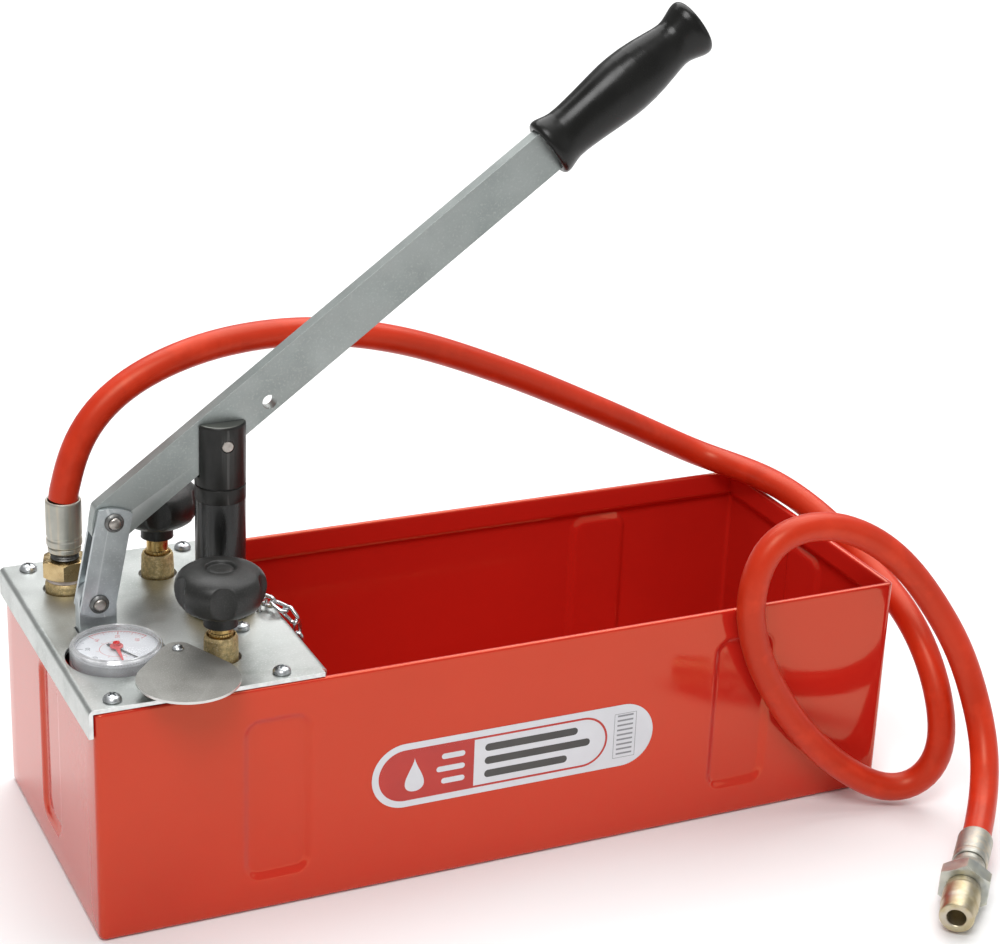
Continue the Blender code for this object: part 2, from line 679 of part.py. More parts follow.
def valve(name, side, looks):
    """A bonnet screwed into the manifold, with a spindle that rises as its knob is turned."""
    seat = TANK_HEIGHT + GAP
    bonnet = [
        (mm(7.1), mm(118)), (mm(8), mm(118)), (mm(8), seat), (mm(9.3), seat), (mm(9.3), mm(141)),
        (mm(8.9), BONNET_TOP - mm(0.8)), (mm(8.2), BONNET_TOP), (mm(7.1), BONNET_TOP),
    ]
    piece(f"{name}_bonnet", lathe(bonnet, 20), looks["bronze"], (VALVE_X, side * VALVE_Y, 0))
    axis = empty(f"{name}_axis", (VALVE_X, side * VALVE_Y, mm(145)), (0, 0, math.radians(-104)))
    out = WOUND_OUT[name]
    shoulder, end = mm(6) + out, mm(20) + out
    foot = [mm(0, -35), mm(2, -33), mm(6.7, -26)]
    bm = lathe([*foot, (mm(6.7), shoulder), (mm(3), shoulder), (mm(3), end), (0, end)], 16)
    piece(f"{name}_spindle", bm, looks["brass"], parent=axis)
    top = [(0, 38), (6.2, 38), (7.2, 39.4), (18, 37.6), (23.6, 32), (24, 25)]
    neck = [(20.5, 17.5), (9.2, 11.5), (9.2, 6.4)]
    bore = [(3.4, 6.4), (3.4, 20.5), (0, 20.5)]
    bm = lathe([mm(*point) for point in (*top, *neck, *bore)], 25, knob_scoop)
    piece(f"{name}_knob", bm, looks["knob"], (0, 0, out), parent=axis)


# The outlet, the hose and its fittings
def outlet_fittings(looks):
    x, y = OUTLET.xy
    seat = TANK_HEIGHT + GAP
    boss = [
        (mm(5), mm(112)), (mm(9), mm(112)), (mm(9), seat), (mm(11.2), seat), (mm(11.2), mm(141.6)),
        (mm(10.4), mm(142.7)), (mm(5), mm(142.7)),
    ]
    piece("outlet_boss", lathe(boss, 20), looks["bronze"], (x, y, 0))
    washer = [(mm(5), mm(143)), (mm(10.6), mm(143)), (mm(10.6), mm(144.9)), (mm(5), mm(144.9))]
    piece("outlet_washer", lathe(washer, 20), looks["washer"], (x, y, 0))
    nut = prism(hexagon(mm(23.5), math.radians(12)), mm(145.2), mm(155.5), [circle(mm(7.3), sides=16)])
    piece("union_nut", nut, looks["yellow_zinc"], (x, y, 0))
    stub = [(4, 145.2), (7, 145.2), (7, 159), (8.6, 159.4), (8.6, 163.2), (4, 163.2)]
    piece("hose_stub", lathe([mm(*point) for point in stub], 16), looks["zinc"], (x, y, 0))
    sleeve = [(8.7, 163.5), (9.9, 163.5), (9.9, 189.4), (9.3, 190), (8.7, 190)]
    piece("near_ferrule", lathe([mm(*point) for point in sleeve], 20), looks["zinc"], (x, y, 0))


def far_fittings(looks):
    """Ferrule, hex and threaded nipple on the hose's free end, in line and lying on the floor."""
    axis = empty("far_fitting_axis", FAR_TIP, (0, math.pi / 2 - FAR_RISE, FAR_AZIMUTH))
    nipple = [(0, 10), (5.4, 10), (5.4, 0), (9.4, 0), (10.4, 1.2), (10.4, 20), (9.2, 22), (9.2, 26.2), (0, 26.2)]
    piece("far_nipple", lathe([mm(*point) for point in nipple], 20), looks["yellow_zinc"], parent=axis)
    nut = prism(hexagon(mm(27), math.radians(30)), mm(26.5), mm(36.5))
    piece("far_hex", nut, looks["yellow_zinc"], parent=axis)
    collar = [(0, 36.8), (12, 36.8), (11.5, 40), (9, 44), (9, 49.7), (0, 49.7)]
    piece("far_collar", lathe([mm(*point) for point in collar], 20), looks["zinc"], parent=axis)
    end, seat = FAR_LENGTH, FAR_LENGTH - mm(4)
    sleeve = [
        (0, mm(50)), (mm(9.9), mm(50)), (mm(9.9), end - mm(0.6)), (mm(9.3), end), (mm(8.7), end), (mm(8.7), seat),
        (0, seat),
    ]
    piece("far_ferrule", lathe(sleeve, 20), looks["zinc"], parent=axis)


def hose(look):
    level = math.cos(FAR_RISE)
    direction = Vector((level * math.cos(FAR_AZIMUTH), level * math.sin(FAR_AZIMUTH), math.sin(FAR_RISE)))
    end = FAR_TIP + direction * (FAR_LENGTH + 2 * GAP)
    route = [*ROUTE, tuple(end + direction * mm(12)), tuple(end)]
    tube("hose", smooth_route(route, HOSE_STEP), HOSE_DIAMETER, look)


# The gauge and its cover
def gauge(looks):
    axis = empty("gauge_axis", GAUGE)
    turned = {
        "gauge_case": ("case", 24, [
            (0, 120), (22, 120), (24, 122), (24, 133), (22.6, 133), (22.6, 122.5), (0, 122.5),
        ]),
        "gauge_bezel": ("chrome", 24, [
            (21.6, 133.3), (24.6, 133.3), (25, 134), (25, 141.5), (24, 143.6), (22.6, 144.3), (21.4, 143.8),
            (21.6, 142.4),
        ]),
        "gauge_dial": ("dial", 24, [(1.2, 139.4), (21.2, 139.4), (21.2, 140), (1.2, 140)]),
        "gauge_lens": ("glass", 24, [(2.4, 142.5), (21.2, 142.5), (21.2, 143.2), (2.4, 143.2)]),
        "gauge_stem": ("brass", 16, [(0, 105), (6, 105), (6, 114), (8, 114), (8, 119.7), (0, 119.7)]),
    }
    for name, (look, sides, profile) in turned.items():
        piece(name, lathe([mm(*point) for point in profile], sides), looks[look], parent=axis)
    needle_axis = empty("needle_axis", (0, 0, mm(140.4)), (0, 0, math.radians(-63)), axis)
    side = [(-6, 0.7), (-2, 1.0), (2, 1.0), (17.5, 0.25)]
    outline = [mm(x, -y) for x, y in side] + [mm(x, y) for x, y in reversed(side)]
    piece("gauge_needle", prism(outline, 0, mm(0.5)), looks["black"], parent=needle_axis)
    pointer_axis = empty("pointer_axis", (0, 0, mm(141.3)), (0, 0, math.radians(-95)), axis)
    side = [(-4, 1), (4, 1), (17, 0.4)]
    outline = [mm(x, -y) for x, y in side] + [mm(x, y) for x, y in reversed(side)]
    pointer = piece("drag_pointer", prism(outline, 0, mm(0.6)), looks["red_plastic"], parent=pointer_axis)
    stud = [(0, 0), (3.6, 0), (3.6, 0.8), (2, 0.8), (2, 2.9), (0, 2.9)]
    bm = lathe([mm(*point) for point in stud], 12)
    boolean(pointer, "UNION", helper("reset_stud", bm, parent=pointer_axis))


def gauge_cover(looks):
    """A round lid with an ear. It swings on a riveted post and is shown swung off the gauge."""
    seat, shoulder = PLATE_TOP + GAP, COVER_LOW - GAP
    post = [(0, mm(131)), (mm(2.1), mm(131)), (mm(2.1), seat), (mm(4), seat), (mm(4), shoulder), (0, shoulder)]
    piece("cover_post", lathe(post, 12), looks["zinc"], COVER_PIVOT)
    axis = empty("cover_axis", COVER_PIVOT, (0, 0, math.radians(-98.5)))
    reach, radius, ear = mm(34.8), mm(27), mm(8)
    tangent = math.acos((radius - ear) / reach)
    disc_arc = (reach, radius, tangent - math.pi, 2 * (math.pi - tangent), 26)
    ear_arc = (0, ear, math.pi - tangent, 2 * tangent, 6)
    outline = []
    for centre, size, start, turn, steps in (disc_arc, ear_arc):
        for step in range(steps + 1):
            angle = start + turn * step / steps
            outline.append((centre + size * math.cos(angle), size * math.sin(angle)))
    lid = prism(outline, COVER_LOW, COVER_LOW + mm(1.4), [circle(mm(2), sides=12)])
    piece("gauge_cover", lid, looks["satin_steel"], parent=axis)
    top = COVER_LOW + mm(1.4) + GAP
    rivet = [
        (0, COVER_LOW), (mm(1.7), COVER_LOW), (mm(1.7), top), (mm(3.1), top), (mm(2.7), top + mm(1.1)),
        (mm(1.4), top + mm(1.8)), (0, top + mm(2)),
    ]
    piece("cover_rivet", lathe(rivet, 12), looks["satin_steel"], COVER_PIVOT)


# The chain that holds the lever down for carrying
def wire_loop(bm, points, radius, closed=True, sides=6):
    """Sweeps a round wire along points, which lie in the local XZ plane."""
    rings = []
    count = len(points)
    sideways = Vector((0, 1, 0))
    for index, point in enumerate(points):
        before = points[index - 1] if closed or index else point
        after = points[(index + 1) % count] if closed or index < count - 1 else point
        across = (Vector(after) - Vector(before)).normalized().cross(sideways)
        ring = []
        for side in range(sides):
            angle = math.tau * side / sides
            offset = across * math.cos(angle) + sideways * math.sin(angle)
            ring.append(bm.verts.new(Vector(point) + offset * radius))
        rings.append(ring)
    for index in range(count if closed else count - 1):
        low, high = rings[index], rings[(index + 1) % count]
        for side in range(sides):
            bm.faces.new((low[side - 1], low[side], high[side], high[side - 1]))
    if not closed:
        bm.faces.new(rings[0])
        bm.faces.new(rings[-1])
    return bm


def chain_link_mesh(crossed):
    """One oval link, long in Z. A crossed link is turned a quarter round its length."""
    straight = LINK_REACH - LINK_SIDE
    points = []
    for end in (1, -1):
        for step in range(4):
            angle = math.pi * step / 3
            points.append((end * LINK_SIDE * math.cos(angle), 0, end * (straight + LINK_SIDE * math.sin(angle))))
    bm = wire_loop(bmesh.new(), points, WIRE_RADIUS)
    if crossed:
        bmesh.ops.rotate(bm, verts=bm.verts, matrix=Matrix.Rotation(math.pi / 2, 3, "Z"))
    return bm


def chain(look):
    """A staple on the plate, the chain's links hooked into each other, and a hook on the last one."""
    bend, foot = mm(1.6), PLATE_TOP - mm(2.3) - CHAIN_EYE.z
    staple = [(-EYE_REACH, 0, foot), (-EYE_REACH, 0, -bend), (bend - EYE_REACH, 0, 0)]
    staple += [(-x, y, z) for x, y, z in reversed(staple)]
    upright = wire_loop(bmesh.new(), staple, WIRE_RADIUS, closed=False)
    piece("chain_eye", upright, look, CHAIN_EYE, (0, 0, CHAIN_TURN + math.pi / 2))
    axis = empty("chain_axis", CHAIN_EYE, (0, 0, CHAIN_TURN))
    near = Vector((0, 0, 0))
    hooked = -(2 * WIRE_RADIUS + 2 * GAP)  # the first link goes round the eye's bar
    for number, degrees in enumerate(CHAIN_LEANS):
        lean = math.radians(degrees)
        along = Vector((-math.sin(lean), 0, -math.cos(lean)))
        middle = near + along * (LINK_REACH + hooked)
        bm = chain_link_mesh(number % 2 == 1)
        if number == 0:
            links = piece("lever_chain", bm, look, middle, (0, lean, 0), axis)
        else:
            boolean(links, "UNION", helper(f"chain_link_{number}", bm, middle, (0, lean, 0), axis))
        near = middle + along * LINK_REACH
        hooked = -1.8 * WIRE_RADIUS
    radius = mm(3.6)
    points = []
    for height, start, end in ((0, 160, -90), (-2 * radius, 90, 340)):
        for step in range(7):
            angle = math.radians(start + (end - start) * step / 6)
            if not points or step:
                points.append((radius * math.cos(angle), 0, height + radius * math.sin(angle)))
    drop = Vector((0, 0, radius - 2 * WIRE_RADIUS - 2 * GAP))
    hook = wire_loop(bmesh.new(), points, WIRE_RADIUS, closed=False)
    piece("chain_hook", hook, look, near - drop, (0, 0, math.pi / 2), axis)


def front_label(look):
    face = -TANK_WIDTH / 2 - mm(0.1)
    outline = rounded(*mm(-88, 47, 84, 86), mm(19.4), 7)
    piece("front_label", prism(outline, 0, mm(0.3)), look, (0, face, 0), (math.pi / 2, 0, 0))


def all_looks():
    zinc = material("zinc", (0.55, 0.58, 0.58), 0.35, 1.0)
    return {
        "red_paint": material("red_paint", (0.62, 0.03, 0.02), 0.25),
        "plate_zinc": material("plate_zinc", (0.62, 0.65, 0.63), 0.32, 1.0),
        "zinc": zinc,
        "screw_chrome": material("screw_chrome", (0.8, 0.81, 0.82), 0.2, 1.0),
        "cast": material("cast_aluminium", (0.5, 0.5, 0.5), 0.55, 1.0),
        "brass": material("brass", (0.72, 0.55, 0.25), 0.25, 1.0),
        "bronze": material("bronze", (0.48, 0.38, 0.18), 0.5, 1.0),
        "yellow_zinc": material("yellow_zinc", (0.70, 0.62, 0.36), 0.3, 1.0),
        "steel": material("steel", (0.6, 0.6, 0.6), 0.3, 1.0),
        "pin_steel": material("pin_steel", (0.6, 0.59, 0.57), 0.35, 1.0),
        "spring_steel": material("spring_steel", (0.42, 0.42, 0.41), 0.35, 1.0),
        "satin_steel": material("satin_steel", (0.45, 0.45, 0.43), 0.4, 1.0),
        "black_steel": material("black_steel", (0.02, 0.02, 0.02), 0.35, 0.3),
        "grip": material("grip_plastic", (0.012, 0.012, 0.012), 0.25),
        "knob": material("knob_plastic", (0.02, 0.02, 0.02), 0.42),
        "rubber": material("seal_rubber", (0.02, 0.02, 0.02), 0.7),
        "hose": material("hose_rubber", (0.70, 0.05, 0.03), 0.5),
        "washer": material("washer_nylon", (0.8, 0.78, 0.72), 0.5),
        "case": material("case_plastic", (0.03, 0.03, 0.03), 0.5),
        "chrome": material("bezel_clear", (0.75, 0.76, 0.78), 0.12, 0.6),
        "dial": material("dial_white", (0.85, 0.85, 0.85), 0.5),
        "glass": material("lens_clear", (0.9, 0.92, 0.93), 0.05, 0.0, 0.3),
        "black": material("needle_black", (0.01, 0.01, 0.01), 0.4),
        "red_plastic": material("pointer_red", (0.75, 0.03, 0.03), 0.35),
        "label": material("label_film", (0.8, 0.8, 0.8), 0.4),
    }


def build():
    clear_scene()
    looks = all_looks()
    tank_body(looks["red_paint"])
    top_plate(looks["plate_zinc"])
    screws(looks["screw_chrome"])
    pump_manifold(looks["cast"])
    pump_barrel(looks["steel"])
    gland_seal(looks["rubber"])
    gland_nut(looks["bronze"])
    suction_valve(looks)
    plunger(looks)
    fulcrum_bracket(looks["zinc"])
    link(looks)
    lever(looks)
    valve("shutoff", -1, looks)
    valve("relief", 1, looks)
    outlet_fittings(looks)
    far_fittings(looks)
    hose(looks["hose"])
    gauge(looks)
    gauge_cover(looks)
    chain(looks["screw_chrome"])
    front_label(looks["label"])


build()
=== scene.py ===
"""The looks of the hand pump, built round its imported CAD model.

Metres, +Z up, in the CAD model's frame. Every piece is built in place with its object at the origin,
so a material's object coordinates are that frame's own metres.
"""

import json
import math
import random

import bmesh
import bpy
from mathutils import Matrix, Vector


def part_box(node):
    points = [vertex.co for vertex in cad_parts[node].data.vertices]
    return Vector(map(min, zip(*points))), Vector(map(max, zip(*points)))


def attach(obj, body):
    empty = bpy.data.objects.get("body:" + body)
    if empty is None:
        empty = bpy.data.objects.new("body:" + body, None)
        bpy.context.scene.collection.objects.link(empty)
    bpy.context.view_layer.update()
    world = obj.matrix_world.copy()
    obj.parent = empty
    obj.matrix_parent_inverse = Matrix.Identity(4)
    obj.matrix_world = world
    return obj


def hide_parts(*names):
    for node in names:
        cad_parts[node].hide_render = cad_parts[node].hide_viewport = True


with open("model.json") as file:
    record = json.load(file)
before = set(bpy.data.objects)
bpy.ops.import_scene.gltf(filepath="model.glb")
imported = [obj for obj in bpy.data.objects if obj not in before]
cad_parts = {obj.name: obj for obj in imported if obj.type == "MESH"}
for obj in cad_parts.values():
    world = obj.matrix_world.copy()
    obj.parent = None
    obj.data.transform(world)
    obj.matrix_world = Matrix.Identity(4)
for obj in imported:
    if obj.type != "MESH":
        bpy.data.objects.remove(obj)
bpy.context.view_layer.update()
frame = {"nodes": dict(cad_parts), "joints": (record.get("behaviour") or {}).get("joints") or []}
SEED = random.Random(7)


def mm(*values):
    metres = tuple(value * 0.001 for value in values)
    return metres[0] if len(metres) == 1 else metres


def in_mm(*points):
    """Points given in millimetres."""
    return [mm(*point) for point in points]


def polar(radius, angle, centre=(0, 0)):
    return centre[0] + radius * math.cos(angle), centre[1] + radius * math.sin(angle)


def turn(degrees, axis):
    return Matrix.Rotation(math.radians(degrees), 4, axis)


def move(*place):
    return Matrix.Translation(Vector(place))


def put(name, data):
    """A new object with that data, in the scene."""
    made = bpy.data.objects.new(name, data)
    bpy.context.scene.collection.objects.link(made)
    return made


def as_mesh(name, bm):
    """The bmesh as mesh data. It frees the bmesh."""
    mesh = bpy.data.meshes.new(name)
    bm.to_mesh(mesh)
    bm.free()
    return mesh


def shaped(obj):
    """A bmesh of an object's final shape."""
    bpy.context.view_layer.update()
    evaluated = obj.evaluated_get(bpy.context.evaluated_depsgraph_get())
    bm = bmesh.new()
    bm.from_mesh(evaluated.to_mesh())
    evaluated.to_mesh_clear()
    return bm


def moved(bm, matrix):
    bmesh.ops.transform(bm, verts=bm.verts, matrix=matrix)
    return bm


# Places, read from the CAD nodes
def middle(node):
    low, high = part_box(node)
    return (low + high) / 2


def joint(name):
    return next(j for j in frame["joints"] if j["name"] == name)


TANK_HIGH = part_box("tank_body")[1]
PLATE_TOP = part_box("plate_screw_1")[1].z - mm(3.8)
PLUNGER = Vector((middle("plunger").x, 0, 0))
VALVES = {name: Vector(joint(f"{name}_turn")["pos_m"]) for name in ("shutoff", "relief")}
GAUGE = Vector((middle("gauge_bezel").x, middle("gauge_bezel").y, 0))
COVER = Vector(joint("cover_swing")["pos_m"])
OUTLET = Vector((middle("outlet_boss").x, middle("outlet_boss").y, 0))
FULCRUM = Vector(joint("link_swing")["pos_m"])
LINK_TOP = Vector(joint("lever_swing")["pos_m"])
CROSS_PIN = middle("plunger_pin")
CHAIN_EYE = Vector(joint("chain_swing")["pos_m"])
LEVER_ANGLE = 36.4  # degrees above level
LEVER = move(*LINK_TOP) @ turn(-LEVER_ANGLE, "Y")


# Camera, fitted to the photograph
CAMERA_PLACE = (-0.51818, -1.14471, 0.70284)
CAMERA_RIGHT = Vector((0.90887, -0.41529, 0.03853))
CAMERA_DOWN = Vector((-0.12184, -0.35272, -0.92776))
LENS, SENSOR_WIDTH = 85.65, 36


def camera():
    forward = CAMERA_RIGHT.cross(-CAMERA_DOWN).normalized() * -1
    data = bpy.data.cameras.new("camera")
    data.lens = LENS
    data.sensor_width = SENSOR_WIDTH
    data.clip_start = 0.05
    made = put("camera", data)
    basis = Matrix((CAMERA_RIGHT, -CAMERA_DOWN, -forward)).transposed().to_4x4()
    made.matrix_world = move(*CAMERA_PLACE) @ basis
    bpy.context.scene.camera = made


# Materials
LOOKS = {}
NOISE_ROUGHNESS = 0.55
MIX_A, MIX_B, MIX_RESULT = 6, 7, 2  # the colour sockets of a Mix node


class Look:
    """A procedural material: a Principled BSDF fed by noise in the frame's own metres."""

    def __init__(self, name, colour, roughness, metallic=0.0, **sockets):
        self.material = LOOKS[name] = bpy.data.materials.new(name)
        self.material.use_nodes = True
        self.tree = self.material.node_tree
        self.shader = self.tree.nodes["Principled BSDF"]
        self.set("Base Color", (*colour, 1))
        self.set("Roughness", roughness)
        self.set("Metallic", metallic)
        for socket, value in sockets.items():
            self.set(socket.replace("_", " ").title().replace("Ior", "IOR"), value)
        self.colour = colour
        self.height = None

    def set(self, socket, value):
        self.shader.inputs[socket].default_value = value

    def node(self, kind, **settings):
        made = self.tree.nodes.new(kind)
        for key, value in settings.items():
            setattr(made, key, value)
        return made

    def plug(self, source, node, socket):
        self.tree.links.new(source, node.inputs[socket])

    def noise(self, scale, detail, stretch=(1, 1, 1)):
        made = self.node("ShaderNodeTexNoise")
        made.inputs["Scale"].default_value = scale
        made.inputs["Detail"].default_value = detail
        made.inputs["Roughness"].default_value = NOISE_ROUGHNESS
        source = self.node("ShaderNodeTexCoord").outputs["Object"]
        mapping = self.node("ShaderNodeMapping")
        mapping.inputs["Scale"].default_value = stretch
        self.plug(source, mapping, "Vector")
        self.plug(mapping.outputs["Vector"], made, "Vector")
        return made.outputs["Fac"]

    def span(self, source, low, high, start=0.3, end=0.7):
        """A 0 to 1 value brought to low..high between start and end."""
        made = self.node("ShaderNodeMapRange")
        for key, value in zip(("From Min", "From Max", "To Min", "To Max"), (start, end, low, high)):
            made.inputs[key].default_value = value
        self.plug(source, made, "Value")
        return made.outputs["Result"]

    def cover(self, share, colour):
        """Mixes a colour over the base colour by a 0 to 1 share."""
        under = self.shader.inputs["Base Color"]
        made = self.node("ShaderNodeMix", data_type="RGBA")
        self.plug(share, made, 0)
        if under.is_linked:
            self.tree.links.new(under.links[0].from_socket, made.inputs[MIX_A])
        else:
            made.inputs[MIX_A].default_value = (*self.colour, 1)
        made.inputs[MIX_B].default_value = (*colour, 1)
        self.plug(made.outputs[MIX_RESULT], self.shader, "Base Color")
        return self

    def mottle(self, other, scale, detail=4.0, start=0.35, end=0.65, **where):
        return self.cover(self.span(self.noise(scale, detail, **where), 0, 1, start, end), other)

    def roughen(self, low, high, scale, detail=4.0, **where):
        self.plug(self.span(self.noise(scale, detail, **where), low, high), self.shader, "Roughness")
        return self

    def bump(self, scale, depth, detail=2.0, **where):
        """Adds relief of that depth in metres to what is there."""
        made = self.node("ShaderNodeBump")
        made.inputs["Strength"].default_value = 1.0
        made.inputs["Distance"].default_value = depth
        self.plug(self.noise(scale, detail, **where), made, "Height")
        if self.height:
            self.plug(self.height, made, "Normal")
        self.height = made.outputs["Normal"]
        self.plug(self.height, self.shader, "Normal")
        return self

    def wear(self, colour, start=0.53, end=0.6, amount=0.8):
        """Lightens outer edges: partly wear, where handling polishes them, and partly a painted highlight,
        where edges catch the light.
        """
        point = self.node("ShaderNodeNewGeometry").outputs["Pointiness"]
        return self.cover(self.span(point, 0, amount, start, end), colour)


def make_looks():
    paint = Look(
        "red_paint", (0.55, 0.018, 0.011), 0.06, coat_weight=0.12, coat_roughness=0.03,
        specular_ior_level=1.0, specular_tint=(1.0, 0.55, 0.26, 1.0),
    )
    paint.mottle((0.50, 0.015, 0.010), 9).mottle((0.575, 0.020, 0.012), 3.5, 2).roughen(0.04, 0.1, 30)
    paint.bump(700, mm(0.010)).bump(12, mm(0.2), 1.0)

    plate = Look("plate_zinc", (0.53, 0.56, 0.54), 0.36, 1.0)
    plate.mottle((0.37, 0.40, 0.38), 55, 6, 0.4, 0.62).mottle((0.53, 0.55, 0.535), 18)
    plate.mottle((0.62, 0.64, 0.63), 900, 2, 0.55, 0.75)
    plate.roughen(0.31, 0.45, 45).bump(900, mm(0.006)).bump(60, mm(0.02))
    # The plate's rim look is a lighter zinc than its face: a painted highlight along the sheet's cut edges.
    edge = Look("plate_lit_edge", (0.78, 0.80, 0.79), 0.4, 1.0).mottle((0.66, 0.68, 0.67), 300, 3)
    edge.roughen(0.34, 0.5, 200)

    bar = Look("lever_zinc", (0.35, 0.385, 0.375), 0.46, 1.0)
    bar.mottle((0.30, 0.335, 0.325), 60, 6, 0.4, 0.62).mottle((0.39, 0.42, 0.41), 22, 4)
    bar.mottle((0.44, 0.47, 0.455), 800, 2, 0.55, 0.75)
    bar.roughen(0.4, 0.54, 40).bump(900, mm(0.012)).wear((0.72, 0.75, 0.74))

    zinc = Look("zinc", (0.56, 0.60, 0.61), 0.38, 1.0)
    zinc.mottle((0.48, 0.515, 0.53), 90, 5).mottle((0.64, 0.67, 0.68), 700, 2, 0.55, 0.75)
    zinc.roughen(0.32, 0.48, 80).bump(1200, mm(0.008)).wear((0.75, 0.78, 0.79))

    chrome = Look("screw_chrome", (0.66, 0.68, 0.69), 0.28, 1.0)
    chrome.roughen(0.22, 0.4, 300).mottle((0.46, 0.48, 0.49), 260, 3)
    Look("chain_steel", (0.62, 0.63, 0.64), 0.22, 1.0).roughen(0.15, 0.32, 400)

    cast = Look("cast", (0.42, 0.42, 0.42), 0.6, 1.0)
    cast.mottle((0.3, 0.3, 0.3), 120).roughen(0.5, 0.75, 90).bump(700, mm(0.12), 4.0)

    brass = Look("brass", (0.62, 0.43, 0.17), 0.28, 1.0).mottle((0.46, 0.31, 0.12), 140, 4)
    brass.roughen(0.2, 0.38, 120).bump(600, mm(0.01), stretch=(1, 1, 12))
    bronze = Look("bronze", (0.70, 0.54, 0.28), 0.5, 1.0).mottle((0.48, 0.37, 0.19), 520, 5, 0.4, 0.6)
    bronze.mottle((0.86, 0.72, 0.46), 1100, 3, 0.56, 0.72).roughen(0.42, 0.62, 350)
    bronze.bump(1500, mm(0.06), 3.0).wear((0.66, 0.52, 0.27), 0.52, 0.6, 0.6)

    yellow = Look("yellow_zinc", (0.54, 0.485, 0.33), 0.42, 1.0).mottle((0.46, 0.38, 0.23), 160, 4)
    yellow.mottle((0.56, 0.52, 0.48), 60, 3, 0.5, 0.75).roughen(0.36, 0.5, 150)
    yellow.bump(1100, mm(0.015)).wear((0.8, 0.74, 0.5), 0.52, 0.6, 0.6)
    pale = Look("pale_zinc", (0.60, 0.61, 0.52), 0.4, 1.0).mottle((0.56, 0.50, 0.32), 110, 4, 0.5, 0.7)
    pale.mottle((0.44, 0.46, 0.45), 60, 3).roughen(0.34, 0.5, 150)
    pale.bump(1100, mm(0.012)).wear((0.72, 0.70, 0.56), 0.52, 0.6, 0.6)
    gold = Look("nut_brass", (0.34, 0.23, 0.10), 0.24, 1.0).mottle((0.52, 0.38, 0.19), 90, 4)
    gold.mottle((0.40, 0.26, 0.11), 160, 3, 0.5, 0.7)
    gold.roughen(0.16, 0.3, 200).bump(900, mm(0.01)).wear((0.75, 0.62, 0.38), 0.52, 0.6, 0.5)
    ferrule = Look("ferrule_zinc", (0.47, 0.465, 0.42), 0.46, 1.0).mottle((0.41, 0.41, 0.37), 120, 4)
    ferrule.mottle((0.56, 0.50, 0.40), 260, 3, 0.45, 0.65, stretch=(1, 1, 0.06))
    ferrule.roughen(0.42, 0.56, 100).bump(1000, mm(0.012), stretch=(1, 1, 0.2))

    Look("steel", (0.6, 0.6, 0.6), 0.3, 1.0).roughen(0.22, 0.42, 90).bump(800, mm(0.01))
    pin = Look("pin_steel", (0.46, 0.43, 0.40), 0.34, 1.0).mottle((0.34, 0.31, 0.28), 300, 4)
    pin.roughen(0.26, 0.44, 300)
    clip = Look("spring_steel", (0.22, 0.22, 0.21), 0.42, 1.0).mottle((0.14, 0.14, 0.14), 350, 4)
    clip.roughen(0.34, 0.52, 300)
    satin = Look("satin_steel", (0.33, 0.325, 0.305), 0.52, 0.85).mottle((0.25, 0.245, 0.225), 38, 5)
    satin.mottle((0.38, 0.375, 0.355), 1300, 3, 0.5, 0.7).roughen(0.46, 0.6, 60)
    satin.bump(1400, mm(0.02), 3.0).wear((0.62, 0.62, 0.60), 0.515, 0.56)
    # The lid's rim look is far lighter than its satin face: a painted highlight along the lid's edge.
    Look("lid_lit_edge", (0.66, 0.66, 0.64), 0.4, 1.0).roughen(0.3, 0.5, 200)

    rod = Look(
        "black_steel", (0.006, 0.006, 0.0052), 0.36, specular_ior_level=0.3, coat_weight=0.12,
        coat_roughness=0.2,
    )
    rod.mottle((0.012, 0.0115, 0.010), 60, 5).roughen(0.3, 0.5, 70, stretch=(4, 4, 1))
    rod.bump(900, mm(0.008)).wear((0.10, 0.10, 0.095), 0.53, 0.62, 0.5)
    streaked_rod = Look(
        "rod_polished", (0.007, 0.0072, 0.007), 0.26, specular_ior_level=0.35, coat_weight=0.25,
        coat_roughness=0.12,
    )
    # Lighter upright streaks mixed into the colour are painted reflection streaks.
    streaked_rod.mottle((0.030, 0.031, 0.029), 28, 5, 0.45, 0.7, stretch=(5, 5, 0.5))
    streaked_rod.roughen(0.18, 0.42, 40, 5, stretch=(6, 6, 0.6))

    grip = Look("grip_plastic", (0.0045, 0.0045, 0.004), 0.26, specular_ior_level=0.3)
    grip.roughen(0.22, 0.34, 60).mottle((0.008, 0.008, 0.0072), 40).bump(1100, mm(0.012)).bump(60, mm(0.04))
    knob = Look("knob_plastic", (0.011, 0.011, 0.010), 0.42, specular_ior_level=0.45)
    knob.roughen(0.36, 0.5, 80).mottle((0.026, 0.0255, 0.023), 1300, 3, 0.5, 0.7).bump(1500, mm(0.035), 3.0)
    knob.wear((0.05, 0.049, 0.046), 0.53, 0.62, 0.5)
    Look("seal_rubber", (0.015, 0.015, 0.015), 0.7).roughen(0.6, 0.8, 90).bump(900, mm(0.03))

    hose = Look(
        "hose_rubber", (0.56, 0.026, 0.006), 0.36, specular_ior_level=0.5,
        specular_tint=(1.0, 0.72, 0.5, 1.0),
    )
    hose.mottle((0.48, 0.022, 0.005), 22, 4).mottle((0.60, 0.033, 0.009), 60, 3, 0.5, 0.7)
    hose.roughen(0.32, 0.46, 35).bump(1500, mm(0.02), 3.0).bump(90, mm(0.05), 2.0)

